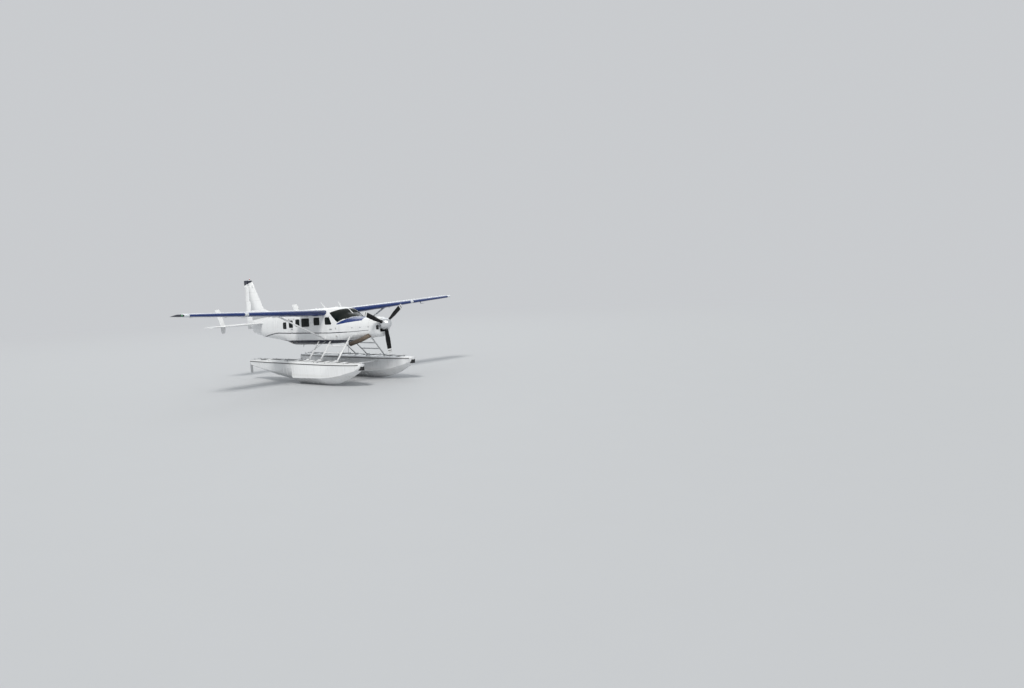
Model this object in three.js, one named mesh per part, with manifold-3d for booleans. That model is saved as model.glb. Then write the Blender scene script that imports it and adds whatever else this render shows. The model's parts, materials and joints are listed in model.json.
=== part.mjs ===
// High wing utility floatplane with one turboprop engine.
// Millimetres. +X forward, +Y port, +Z up. The origin is on the floor, under the middle.
// Airframe pieces are drawn in datum axes and then stood up: there x is minus the station,
// which is the distance behind the spinner's tip, and z is the height over the propeller's axis.
import * as THREE from 'three';
import { mergeVertices } from 'three/addons/utils/BufferGeometryUtils.js';
import Module from 'manifold-3d';

const wasm = await Module();
wasm.setup();

// Driving dimensions
const SPAN = 15870;
const TAIL_SPAN = 6250;
const PROP_DIAMETER = 2690;
const ROOT_CHORD = 1980;
const TIP_CHORD = 1220;
const CABIN_WIDTH = 1600;
const FLOAT_LENGTH = 8470;
const FLOAT_SPACING = 3098;
const FLOAT_BEAM = 1060;
const AXIS_HEIGHT = 2760;
const STANCE_DEG = 2.4;
const RUDDER_EDGE = 11405;
const RUDDER_TOP = 2720;
// The spinner's tip is half the overall length ahead of the origin
const STANCE = THREE.MathUtils.degToRad(STANCE_DEG);
const NOSE_X = (RUDDER_EDGE * Math.cos(STANCE) + RUDDER_TOP * Math.sin(STANCE)) / 2;

// Shared clearances
const GAP = 0.4;
const MOVING_GAP = 7;
const END_GAP = 24;
const WALL = 40;
const COWL_WALL = 18;
const TAIL_WALL = 30;

// Lengthwise places, as stations
const FIREWALL = 2310;
const CABIN_REAR = 7300;
const TAIL_END = 10815;
const TAIL_HOLLOW_END = 9450;
const COWL_FRONT = 520;
const SPINNER_LENGTH = 470;
const PROP_STATION = 350;
const WING_LE_ROOT = 3663;
const WING_LE_TIP = 3774;
const WING_ROOT_Z = 690;
const WING_TIP_Z = 1050;
const WING_ROOT_Y = 620;
const STAB_Z = 394;
const HALF = CABIN_WIDTH / 2;

// Fuselage sections: station, top, height of greatest width, bottom, half width,
// then the roundness of the upper and lower halves, where 2 is an ellipse
const BODY_SECTIONS = [
  [500, 235, -70, -440, 345, 2.3, 2.4],
  [560, 290, -75, -540, 430, 2.4, 2.6],
  [700, 330, -80, -580, 480, 2.5, 2.8],
  [1200, 355, -85, -610, 560, 2.6, 2.9],
  [2310, 417, -85, -690, 690, 3.0, 3.2],
  [2946, 834, -80, -780, 765, 3.1, 3.4],
  [3450, 915, -60, -810, 796, 3.8, 3.6],
  [3700, 930, -50, -815, HALF, 4.0, 3.6],
  [5400, 930, -50, -815, HALF, 4.0, 3.6],
  [6650, 880, -50, -800, 785, 3.7, 3.5],
  [7300, 845, -20, -660, 705, 3.1, 3.0],
  [8500, 780, 60, -490, 500, 2.6, 2.5],
  [9600, 690, 150, -360, 320, 2.4, 2.3],
  [10600, 620, 260, -140, 165, 2.2, 2.2],
  [10900, 590, 290, -60, 110, 2.2, 2.2],
];
const RING_POINTS = 32;

// Float sections: distance behind the bow, then keel, chine and rub line heights with
// the half widths of the chine and rub line, and the height of the deck's crown
const FLOAT_FORE = [
  [0, 955, 985, 1012, 90, 130, 1060],
  [60, 800, 885, 1010, 120, 170, 1064],
  [330, 610, 740, 1005, 270, 310, 1075],
  [900, 330, 590, 1000, 410, 440, 1088],
  [1600, 110, 470, 995, 480, 510, 1100],
  [2400, 0, 390, 990, 515, FLOAT_BEAM / 2, 1105],
  [4560, 0, 330, 980, 515, FLOAT_BEAM / 2, 1105],
];
const FLOAT_AFT = [
  [4560, 95, 400, 980, 500, FLOAT_BEAM / 2, 1105],
  [6600, 360, 590, 968, 400, 450, 1088],
  [FLOAT_LENGTH, 690, 770, 948, 170, 215, 1038],
];
const FLOAT_BOW_X = -275;
const KEEL_HALF = 25;

// Shapes and solids
const MATERIALS = {
  white: [0xeef1f4, 0.32, 0.0],
  blade: [0x17181a, 0.45, 0.2],
  exhaust: [0x6b5a4c, 0.6, 0.7],
  glass: [0x1c2628, 0.08, 0.0],
  trim: [0x2a2d31, 0.8, 0.0],
  seat: [0x4a4f57, 0.9, 0.0],
  metal: [0x7d8186, 0.5, 0.8],
  rubber: [0x1a1a1b, 0.85, 0.0],
};

const group = new THREE.Group();
group.name = 'floatplane';

function material(key) {
  const [color, roughness, metalness] = MATERIALS[key];
  return new THREE.MeshStandardMaterial({ color, roughness, metalness });
}

function signedVolume(positions, index) {
  let volume = 0;
  const a = new THREE.Vector3();
  const b = new THREE.Vector3();
  const c = new THREE.Vector3();
  for (let i = 0; i < index.length; i += 3) {
    a.fromArray(positions, index[i] * 3);
    b.fromArray(positions, index[i + 1] * 3);
    c.fromArray(positions, index[i + 2] * 3);
    volume += a.dot(b.cross(c)) / 6;
  }
  return volume;
}

function solid(geometry) {
  const bare = new THREE.BufferGeometry();
  bare.setAttribute('position', geometry.getAttribute('position').clone());
  if (geometry.index) bare.setIndex(geometry.index.clone());
  const merged = mergeVertices(bare, 1e-3);
  const vertProperties = new Float32Array(merged.getAttribute('position').array);
  const triVerts = new Uint32Array(merged.index.array);
  if (signedVolume(vertProperties, triVerts) < 0) {
    for (let i = 0; i < triVerts.length; i += 3) {
      [triVerts[i + 1], triVerts[i + 2]] = [triVerts[i + 2], triVerts[i + 1]];
    }
  }
  const mesh = new wasm.Mesh({ numProp: 3, vertProperties, triVerts });
  mesh.merge();
  return new wasm.Manifold(mesh);
}

function addPart(name, body, key) {
  const { vertProperties, triVerts } = body.getMesh();
  const geometry = new THREE.BufferGeometry();
  geometry.setAttribute('position', new THREE.BufferAttribute(vertProperties, 3));
  geometry.setIndex(new THREE.BufferAttribute(triVerts, 1));
  const flat = geometry.toNonIndexed();
  flat.computeVertexNormals();
  const mesh = new THREE.Mesh(flat, material(key));
  mesh.name = name;
  group.add(mesh);
}

const STAND_UP = new THREE.Matrix4()
  .makeTranslation(NOSE_X, 0, AXIS_HEIGHT)
  .multiply(new THREE.Matrix4().makeRotationY(-STANCE));
const SHIFT = new THREE.Matrix4().makeTranslation(NOSE_X, 0, 0);

function stood(body) {
  return body.transform(STAND_UP.elements);
}

function shifted(body) {
  return body.transform(SHIFT.elements);
}

function addAirframe(name, body, key) {
  addPart(name, stood(body), key);
}

function mirrored(body) {
  return body.mirror([0, 1, 0]);
}

// Joins rings of points, each with the same count, into one closed body
function loft(rings) {
  const count = rings[0].length;
  const positions = [];
  const index = [];
  for (const ring of rings) for (const p of ring) positions.push(p[0], p[1], p[2]);
  for (let r = 0; r < rings.length - 1; r += 1) {
    for (let k = 0; k < count; k += 1) {
      const a = r * count + k;
      const b = r * count + ((k + 1) % count);
      index.push(a, b, a + count, b, b + count, a + count);
    }
  }
  for (const r of [0, rings.length - 1]) {
    const centre = positions.length / 3;
    const mean = [0, 1, 2].map((i) => rings[r].reduce((sum, p) => sum + p[i], 0) / count);
    positions.push(...mean);
    for (let k = 0; k < count; k += 1) {
      const a = r * count + k;
      const b = r * count + ((k + 1) % count);
      if (r === 0) index.push(centre, b, a);
      else index.push(centre, a, b);
    }
  }
  const geometry = new THREE.BufferGeometry();
  geometry.setAttribute('position', new THREE.Float32BufferAttribute(positions, 3));
  geometry.setIndex(index);
  return solid(geometry);
}

function roundedShape(points, radius) {
  const shape = new THREE.Shape();
  const count = points.length;
  points.forEach((corner, i) => {
    const before = points[(i + count - 1) % count];
    const after = points[(i + 1) % count];
    const toward = (to) => {
      const length = Math.hypot(to[0] - corner[0], to[1] - corner[1]);
      const reach = Math.min(radius, length * 0.45) / length;
      return [corner[0] + (to[0] - corner[0]) * reach, corner[1] + (to[1] - corner[1]) * reach];
    };
    const start = toward(before);
    const end = toward(after);
    if (i === 0) shape.moveTo(...start);
    else shape.lineTo(...start);
    if (radius > 0) shape.quadraticCurveTo(corner[0], corner[1], ...end);
  });
  shape.closePath();
  return shape;
}

// A prism seen from the side: points are station and height, and it runs between two widths
function sidePrism(points, y0, y1, radius = 0) {
  const shape = roundedShape(points.map(([station, z]) => [-station, z]), radius);
  const geometry = new THREE.ExtrudeGeometry(shape, {
    depth: y1 - y0, bevelEnabled: false, curveSegments: 2,
  });
  geometry.rotateX(Math.PI / 2);
  geometry.translate(0, y1, 0);
  return solid(geometry);
}

// A prism seen from above: points are station and width, and it runs between two heights
function planPrism(points, z0, z1) {
  const shape = roundedShape(points.map(([station, y]) => [-station, y]), 0);
  const geometry = new THREE.ExtrudeGeometry(shape, { depth: z1 - z0, bevelEnabled: false });
  geometry.translate(0, 0, z0);
  return solid(geometry);
}

function box(x0, x1, y0, y1, z0, z1) {
  const geometry = new THREE.BoxGeometry(x1 - x0, y1 - y0, z1 - z0);
  geometry.translate((x0 + x1) / 2, (y0 + y1) / 2, (z0 + z1) / 2);
  return solid(geometry);
}

function slab(stationA, stationB, z0 = -3000, z1 = 4000) {
  return box(-stationB, -stationA, -3000, 3000, z0, z1);
}

// A round or oval bar between two points, wide along x where it can be
function bar(from, to, wide, thick, sides = 12) {
  const a = new THREE.Vector3(...from);
  const b = new THREE.Vector3(...to);
  const along = b.clone().sub(a).normalize();
  const chordwise = new THREE.Vector3(1, 0, 0).addScaledVector(along, -along.x);
  if (chordwise.length() < 0.1) chordwise.set(0, 0, 1).addScaledVector(along, -along.z);
  chordwise.normalize();
  const across = along.clone().cross(chordwise);
  const rings = [a, b].map((centre) => {
    const ring = [];
    for (let k = 0; k < sides; k += 1) {
      const angle = (k / sides) * Math.PI * 2;
      const p = centre.clone()
        .addScaledVector(chordwise, (Math.cos(angle) * wide) / 2)
        .addScaledVector(across, (Math.sin(angle) * thick) / 2);
      ring.push(p.toArray());
    }
    return ring;
  });
  return loft(rings);
}

function lerp(a, b, t) {
  return a + (b - a) * t;
}

function between(a, b, t) {
  return a.map((value, i) => lerp(value, b[i], t));
}

const PIN_SIDES = 8;

// A round pin about a point, along a direction, out to the same distance both ways
function pinAt(centre, direction, half, radius) {
  const unit = new THREE.Vector3(...direction).normalize();
  const ends = [-half, half].map((reach) => (
    new THREE.Vector3(...centre).addScaledVector(unit, reach).toArray()
  ));
  return bar(ends[0], ends[1], radius * 2, radius * 2, PIN_SIDES);
}

// A hinge of a control surface: a lug on the fixed piece reaches into a slot in the moving one,
// and a pin in the moving piece runs through the lug
const LUG = { half: 6, slot: 12, tall: 16, pin: 8, bore: 9, behind: 16, slotBehind: 32 };

function surfaceHinge(centre, direction, upright, radius, reach) {
  const [x, y, z] = centre;
  const tall = Math.min(LUG.tall, radius * 0.4);
  const sides = (half, across) => (upright
    ? [y - across, y + across, z - half, z + half]
    : [y - half, y + half, z - across, z + across]);
  return {
    lug: box(x - LUG.behind, x + radius + reach, ...sides(LUG.half, tall)),
    slot: box(x - LUG.slotBehind, x + radius + 40, ...sides(LUG.slot, radius + 30)),
    bore: pinAt(centre, direction, 30, LUG.bore),
    pin: pinAt(centre, direction, LUG.slot + 14, LUG.pin),
  };
}

function hung(fixed, moving, hinges) {
  return hinges.reduce(([still, swing], { lug, slot, bore, pin }) => (
    [still.add(lug).subtract(bore), swing.subtract(slot).add(pin)]
  ), [fixed, moving]);
}

// A door hinge: a barrel on the shell sits between two on the door, round the door's pin.
// The basis is the hinge axis, the way to the fixed side, and the way out of the skin.
const KNUCKLE = { radius: 8, pin: 4.5, bore: 5.2, middle: 14, inner: 16, outer: 34, web: 45 };

function knuckle(centre, axis, toFixed, out, sink) {
  const block = (a, f, o) => {
    const corner = (i) => centre.map((value, k) => (
      value + axis[k] * a[i] + toFixed[k] * f[i] + out[k] * o[i]
    ));
    const low = corner(0);
    const high = corner(1);
    const ranges = low.map((value, k) => [Math.min(value, high[k]), Math.max(value, high[k])]);
    return box(...ranges.flat());
  };
  const barrel = (a0, a1) => bar(...[a0, a1].map((a) => centre.map((value, k) => value + axis[k] * a)),
    KNUCKLE.radius * 2, KNUCKLE.radius * 2, PIN_SIDES);
  const { middle, inner, outer, web, radius } = KNUCKLE;
  const lug = barrel(-middle, middle).add(block([-middle, middle], [0, web], [-sink, radius]));
  let ears = pinAt(centre, axis, outer, KNUCKLE.pin);
  for (const [a0, a1] of [[inner, outer], [-outer, -inner]]) {
    ears = ears.add(barrel(a0, a1)).add(block([a0, a1], [-web, -1], [-sink, radius]));
  }
  return { lug, ears, bore: pinAt(centre, axis, outer + 4, KNUCKLE.bore) };
}

// Fuselage
function bodyRing([station, top, mid, bottom, half, upper, lower], inset) {
  const ring = [];
  for (let k = 0; k < RING_POINTS; k += 1) {
    const angle = ((k + 0.5) / RING_POINTS) * Math.PI * 2;
    const c = Math.cos(angle);
    const s = Math.sin(angle);
    const power = 2 / (s > 0 ? upper : lower);
    const reach = s > 0 ? top - inset - mid : mid - bottom - inset;
    const y = (half - inset) * Math.sign(c) * Math.abs(c) ** power;
    ring.push([-station, y, mid + reach * Math.sign(s) * Math.abs(s) ** power]);
  }
  return ring;
}

function bodyLoft(inset) {
  return loft(BODY_SECTIONS.map((section) => bodyRing(section, inset)));
}

const OUTER = bodyLoft(0);
const OUTER_GROWN = bodyLoft(-GAP);
const INNER = bodyLoft(WALL);
const INNER_CLEAR = bodyLoft(WALL + GAP);

// Openings in the side walls, as station and height of their corners
const WINDSHIELD = [[2335, 398], [2880, 190], [3480, 690], [2600, 930], [2335, 720]];
const CREW_DOOR = [[2990, -600], [2990, 20], [3300, 515], [3790, 515], [3790, -600]];
const CREW_WINDOW = [[3255, 135], [3440, 478], [3735, 478], [3735, 135]];
// Cabin windows: rear station, front station, bottom, top
const WINDOWS = {
  second: [4600, 4160, 135, 490],
  third: [5570, 4970, 95, 490],
  fourth: [6060, 5750, 130, 470],
  doorWindow: [6620, 6300, 85, 440],
  last: [7220, 6870, 45, 365],
};
const PASSENGER_DOOR = [6100, 6720];
const CARGO_DOOR = [5680, 6720];
const DOOR_HINGES = {
  crew: { axis: [0, 0, 1], toFixed: [1, 0, 0], x: -2993.5, y: 781, places: [[-430, 62], [-60, 32]] },
  passengerUpper: { axis: [1, 0, 0], toFixed: [0, 0, 1], y: 779, z: 496.5,
    places: [[-6200, 36], [-6620, 52]] },
  passengerLower: { axis: [1, 0, 0], toFixed: [0, 0, -1], y: 692, z: -636.5,
    places: [[-6200, 52], [-6620, 52]] },
  cargoUpper: { axis: [1, 0, 0], toFixed: [0, 0, 1], y: 786, z: 496.5,
    places: [[-5850, 36], [-6200, 44], [-6550, 56]] },
  cargoLower: { axis: [0, 0, 1], toFixed: [1, 0, 0], x: -5683.5, y: 809,
    places: [[-480, 64], [-160, 34]] },
};
const DOOR_TOP = 500;
const DOOR_SPLIT = -80;
const DOOR_BOTTOM = -640;

function rectangle([stationA, stationB], bottom, top) {
  return [[stationA, bottom], [stationA, top], [stationB, top], [stationB, bottom]];
}

function windowCut(name, side) {
  const [rear, front, bottom, top] = WINDOWS[name];
  const range = side > 0 ? [300, 1200] : [-1200, -300];
  return sidePrism(rectangle([front, rear], bottom, top), ...range, 55);
}

function sideCut(points, side, radius) {
  const range = side > 0 ? [300, 1200] : [-1200, -300];
  return sidePrism(points, ...range, radius);
}

// Moves each corner of an outline inwards by the running gap round a door
function shrunk(points, by) {
  const n = points.length;
  const area = points.reduce((sum, p, i) => {
    const q = points[(i + 1) % n];
    return sum + p[0] * q[1] - q[0] * p[1];
  }, 0);
  const turn = Math.sign(area);
  return points.map((p, i) => {
    const a = points[(i + n - 1) % n];
    const b = points[(i + 1) % n];
    const u = new THREE.Vector2(p[0] - a[0], p[1] - a[1]).normalize();
    const v = new THREE.Vector2(b[0] - p[0], b[1] - p[1]).normalize();
    const nu = new THREE.Vector2(-u.y * turn, u.x * turn);
    const nv = new THREE.Vector2(-v.y * turn, v.x * turn);
    const scale = by / (1 + nu.dot(nv));
    return [p[0] + (nu.x + nv.x) * scale, p[1] + (nu.y + nv.y) * scale];
  });
}

// Wing
function airfoil(chord, thickness, camber, points = 9) {
  const upper = [];
  const lower = [];
  for (let k = 0; k <= points; k += 1) {
    const x = (1 - Math.cos((k / points) * Math.PI)) / 2;
    const half = 5 * thickness * (0.2969 * Math.sqrt(x) - 0.126 * x - 0.3516 * x * x
      + 0.2843 * x ** 3 - 0.1036 * x ** 4) + 0.0008;
    const line = camber * 4 * x * (1 - x);
    upper.push([x * chord, (line + half) * chord]);
    lower.push([x * chord, (line - half) * chord]);
  }
  return [...upper, ...lower.reverse().slice(0, -1)];
}

// A span section: y, leading edge station and height, chord, thickness ratio, incidence
function wingRing({ y, station, z, chord, thickness, incidence, camber = 0.02 }) {
  const turn = THREE.MathUtils.degToRad(incidence);
  return airfoil(chord, thickness, camber).map(([x, h]) => [
    -(station + x * Math.cos(turn) + h * Math.sin(turn)),
    y,
    z - x * Math.sin(turn) + h * Math.cos(turn),
  ]);
}

const TIP_Y = SPAN / 2;
const WING_TIP_START = TIP_Y - 170;

function wingAt(y) {
  const t = (y - 650) / (TIP_Y - 650);
  return {
    y,
    station: lerp(WING_LE_ROOT, WING_LE_TIP, t),
    z: lerp(WING_ROOT_Z, WING_TIP_Z, t),
    chord: lerp(ROOT_CHORD, TIP_CHORD, t),
    thickness: lerp(0.174, 0.12, t),
    incidence: lerp(2.4, 0, t),
  };
}

function wingTip() {
  const base = wingAt(TIP_Y - 60);
  const end = wingAt(TIP_Y);
  const near = { ...base, station: base.station + 25, chord: base.chord - 45, thickness: 0.1 };
  const last = { ...end, station: end.station + 170, chord: end.chord - 260, thickness: 0.05 };
  return [near, last];
}

function wingLoft() {
  const sections = [wingAt(WING_ROOT_Y), wingAt(4300), wingAt(WING_TIP_START), ...wingTip()];
  return loft(sections.map(wingRing));
}

// Where a control surface hinges: the middle of the section's thickness at a chord fraction
function hingeAt(section, fraction) {
  const turn = THREE.MathUtils.degToRad(section.incidence);
  const x = section.chord * fraction;
  const half = 5 * section.thickness * (0.2969 * Math.sqrt(fraction) - 0.126 * fraction
    - 0.3516 * fraction ** 2 + 0.2843 * fraction ** 3 - 0.1036 * fraction ** 4) * section.chord;
  const line = (section.camber ?? 0.02) * 4 * fraction * (1 - fraction) * section.chord;
  return {
    station: section.station + x * Math.cos(turn) + line * Math.sin(turn),
    z: section.z - x * Math.sin(turn) + line * Math.cos(turn),
    radius: half,
    rest: section.chord - x,
    turn,
  };
}

// A flap, aileron or elevator section: a round nose about the hinge, then straight to its edge
function surfaceRing(section, fraction) {
  const { station, z, radius, rest, turn } = hingeAt(section, fraction);
  const edge = 0.0016 * section.chord + 2;
  const ring = [];
  for (let k = 0; k <= 6; k += 1) {
    const angle = Math.PI / 2 + (k / 6) * Math.PI;
    ring.push([Math.cos(angle) * radius, Math.sin(angle) * radius]);
  }
  const drop = -(section.camber ?? 0.02) * 4 * fraction * (1 - fraction) * section.chord;
  ring.push([rest, drop - edge], [rest, drop + edge]);
  return ring.map(([x, h]) => [
    -(station + x * Math.cos(turn) + h * Math.sin(turn)),
    section.y,
    z - x * Math.sin(turn) + h * Math.cos(turn),
  ]);
}

function surfaceLoft(sectionAt, fraction, y0, y1) {
  return loft([surfaceRing(sectionAt(y0), fraction), surfaceRing(sectionAt(y1), fraction)]);
}

function surfaceCut(sectionAt, fraction, y0, y1, margin = 10) {
  const a = sectionAt(y0);
  const b = sectionAt(y1);
  const ha = hingeAt(a, fraction);
  const hb = hingeAt(b, fraction);
  return planPrism([
    [ha.station - ha.radius - margin, y0 - END_GAP],
    [hb.station - hb.radius - margin, y1 + END_GAP],
    [b.station + b.chord + 400, y1 + END_GAP],
    [a.station + a.chord + 400, y0 - END_GAP],
  ], -500, 2500);
}

// Control surfaces: span from and to, chord fraction of the hinge, and its hinges' places
const FLAP = { from: 840, to: 4990, fraction: 0.72, places: [1300, 2950, 4600] };
const AILERON = { from: 5064, to: 7640, fraction: 0.76, places: [5500, 7200] };

// The hinges of a surface that runs out along the span
function spanHinges(sectionAt, { from, to, fraction, places }) {
  const ends = [from, to].map((y) => {
    const { station, z, radius } = hingeAt(sectionAt(y), fraction);
    return { point: [-station, y, z], radius };
  });
  const direction = ends[1].point.map((value, i) => value - ends[0].point[i]);
  return places.map((y) => {
    const t = (y - from) / (to - from);
    const radius = lerp(ends[0].radius, ends[1].radius, t);
    return surfaceHinge(between(ends[0].point, ends[1].point, t), direction, false, radius, 32);
  });
}

const STRUT_FOOT = [-3905, 790, -520];
const STRUT_TOP_Y = 3300;

function wingStrutBar() {
  const s = wingAt(STRUT_TOP_Y);
  const top = [-(s.station + 0.19 * s.chord), STRUT_TOP_Y, s.z - 60];
  const foot = [STRUT_FOOT[0], STRUT_FOOT[1] - 120, STRUT_FOOT[2] - 60];
  return bar(foot, top, 165, 62);
}

// Tail
function stabAt(y) {
  const t = Math.abs(y) / (TAIL_SPAN / 2);
  return {
    y,
    station: lerp(9560, 9655, t),
    z: STAB_Z,
    chord: lerp(1300, 860, t),
    thickness: 0.1,
    incidence: 0,
    camber: 0,
  };
}

const ELEVATOR = { from: 255, to: 3118, horn: 2880, fraction: 0.64, places: [700, 2600] };
const STAB_END = 2868;

function stabiliserLoft() {
  return loft([-STAB_END, 0, STAB_END].map((y) => wingRing(stabAt(y))));
}

function elevatorLoft() {
  const main = surfaceLoft(stabAt, ELEVATOR.fraction, ELEVATOR.from, ELEVATOR.to);
  const hornAt = (y) => {
    const s = stabAt(y);
    return { ...s, station: s.station + 30, chord: s.chord - 60 };
  };
  const horn = loft([hornAt(ELEVATOR.horn), hornAt(ELEVATOR.to - 20)].map(wingRing));
  return main.add(horn);
}

// Finlets on the stabiliser: outline as station and height
const FINLET_Y = 2367;
const FINLET = [
  [9790, 380], [9850, 60], [10080, 20], [10180, 120], [10185, 440],
  [10600, 1180], [10560, 1262], [10230, 1270], [10120, 1190],
];

// Fin: outline as station and height, then the rudder behind its hinge line
const FIN_OUTLINE = [
  [8250, 700], [9350, 1010], [9820, 1150], [10690, 2690], [11500, 2728], [11420, 200], [9000, 200],
];
// Its sections: height, and where the thin front of each begins
const FIN_SECTIONS = [[200, 8200], [700, 8200], [1010, 9320], [1150, 9790], [2728, 10680]];
const RUDDER_HINGE = [[10885, 100], [11075, 2730]];
const RUDDER_NOSE = 52;
const RUDDER_BOTTOM = 130;

function finHalfThickness(z) {
  return lerp(62, 36, (z - 600) / 2100);
}

function finPlate() {
  const rings = [];
  for (const [z, lead] of FIN_SECTIONS) {
    const half = finHalfThickness(z);
    rings.push([
      [-lead, -4, z], [-lerp(lead, 11400, 0.35), -half, z], [-11500, -half * 0.7, z],
      [-11500, half * 0.7, z], [-lerp(lead, 11400, 0.35), half, z], [-lead, 4, z],
    ]);
  }
  return loft(rings).intersect(sidePrism(FIN_OUTLINE, -200, 200));
}

function rudderLoft() {
  const [low, high] = RUDDER_HINGE;
  const rings = [RUDDER_BOTTOM, 600, RUDDER_TOP].map((z) => {
    const t = (z - low[1]) / (high[1] - low[1]);
    const hinge = lerp(low[0], high[0], t);
    const radius = z < 601 ? RUDDER_NOSE : 34;
    const ring = [];
    for (let k = 0; k <= 6; k += 1) {
      const angle = Math.PI / 2 + (k / 6) * Math.PI;
      ring.push([-(hinge + Math.cos(angle) * radius), Math.sin(angle) * radius, z]);
    }
    ring.push([-RUDDER_EDGE, -4, z], [-RUDDER_EDGE, 4, z]);
    return ring;
  });
  return loft(rings);
}

const RUDDER_PLACES = [850, 1650, 2450];

function rudderHinges() {
  const [low, high] = RUDDER_HINGE;
  const direction = [low[0] - high[0], 0, high[1] - low[1]];
  return RUDDER_PLACES.map((z) => {
    const t = (z - low[1]) / (high[1] - low[1]);
    const radius = lerp(RUDDER_NOSE, 34, Math.max(0, (z - 600) / (RUDDER_TOP - 600)));
    return surfaceHinge([-lerp(low[0], high[0], t), 0, z], direction, true, radius, 50);
  });
}

function rudderCut() {
  const [low, high] = RUDDER_HINGE;
  const back = RUDDER_NOSE + 10;
  return sidePrism([
    [low[0] - back, 90], [high[0] - back + 14, 2900], [12000, 2900], [12000, 90],
  ], -400, 400);
}

// Propeller
function spinnerBody() {
  const profile = [new THREE.Vector2(0, -SPINNER_LENGTH)];
  profile.push(new THREE.Vector2(262, -SPINNER_LENGTH));
  for (let k = 1; k <= 8; k += 1) {
    const t = k / 8;
    const x = lerp(SPINNER_LENGTH - 60, 0, t);
    profile.push(new THREE.Vector2(t === 1 ? 0 : 265 * Math.sqrt(1 - t * t) ** 1.15, -x));
  }
  const geometry = new THREE.LatheGeometry(profile, 24);
  geometry.rotateZ(-Math.PI / 2);
  return solid(geometry);
}

// Blade sections: radius, chord, thickness, twist from the feathered position
const BLADE = [
  [90, 95, 90, -65], [330, 165, 60, -65], [700, 240, 32, -76], [1100, 235, 20, -83],
  [1310, 190, 12, -87], [PROP_DIAMETER / 2, 120, 9, -87],
];
const PROP_PHASE_DEG = 54;
const SHAFT = 60;
const SHAFT_BORE = 60.7;
const SHAFT_SIDES = 32;

function bladeBody(angle) {
  const rings = BLADE.map(([radius, chord, thickness, twist]) => {
    const turn = THREE.MathUtils.degToRad(twist);
    const ring = [];
    for (let k = 0; k < 10; k += 1) {
      const a = (k / 10) * Math.PI * 2;
      const u = (Math.cos(a) * chord) / 2;
      const v = (Math.sin(a) * thickness) / 2;
      const x = u * Math.cos(turn) - v * Math.sin(turn);
      const side = u * Math.sin(turn) + v * Math.cos(turn);
      ring.push([-PROP_STATION + x, side, radius]);
    }
    return ring;
  });
  return loft(rings).rotate([angle, 0, 0]);
}

function propeller() {
  let body = spinnerBody();
  for (const k of [0, 1, 2]) body = body.add(bladeBody(-(PROP_PHASE_DEG + k * 120)));
  const bore = bar([-(SPINNER_LENGTH - 45), 0, 0], [-600, 0, 0], 2 * SHAFT_BORE, 2 * SHAFT_BORE,
    SHAFT_SIDES);
  return body.subtract(bore);
}

// The hinges of one door, on the port side for 1 and the starboard side for -1
function doorHinges(key, side) {
  const { axis, toFixed, x, y, z, places } = DOOR_HINGES[key];
  return places.map(([place, sink]) => (
    knuckle([x ?? place, side * y, z ?? place], axis, toFixed, [0, side, 0], sink)
  ));
}

// Adds a door to the shell with its hinges and returns the shell
function hangDoor(shell, name, door, hinges) {
  let swing = door;
  let still = shell;
  for (const { lug, ears, bore } of hinges) {
    still = still.add(lug).subtract(bore);
    swing = swing.add(ears);
  }
  addAirframe(name, swing, 'white');
  return still;
}

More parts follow.
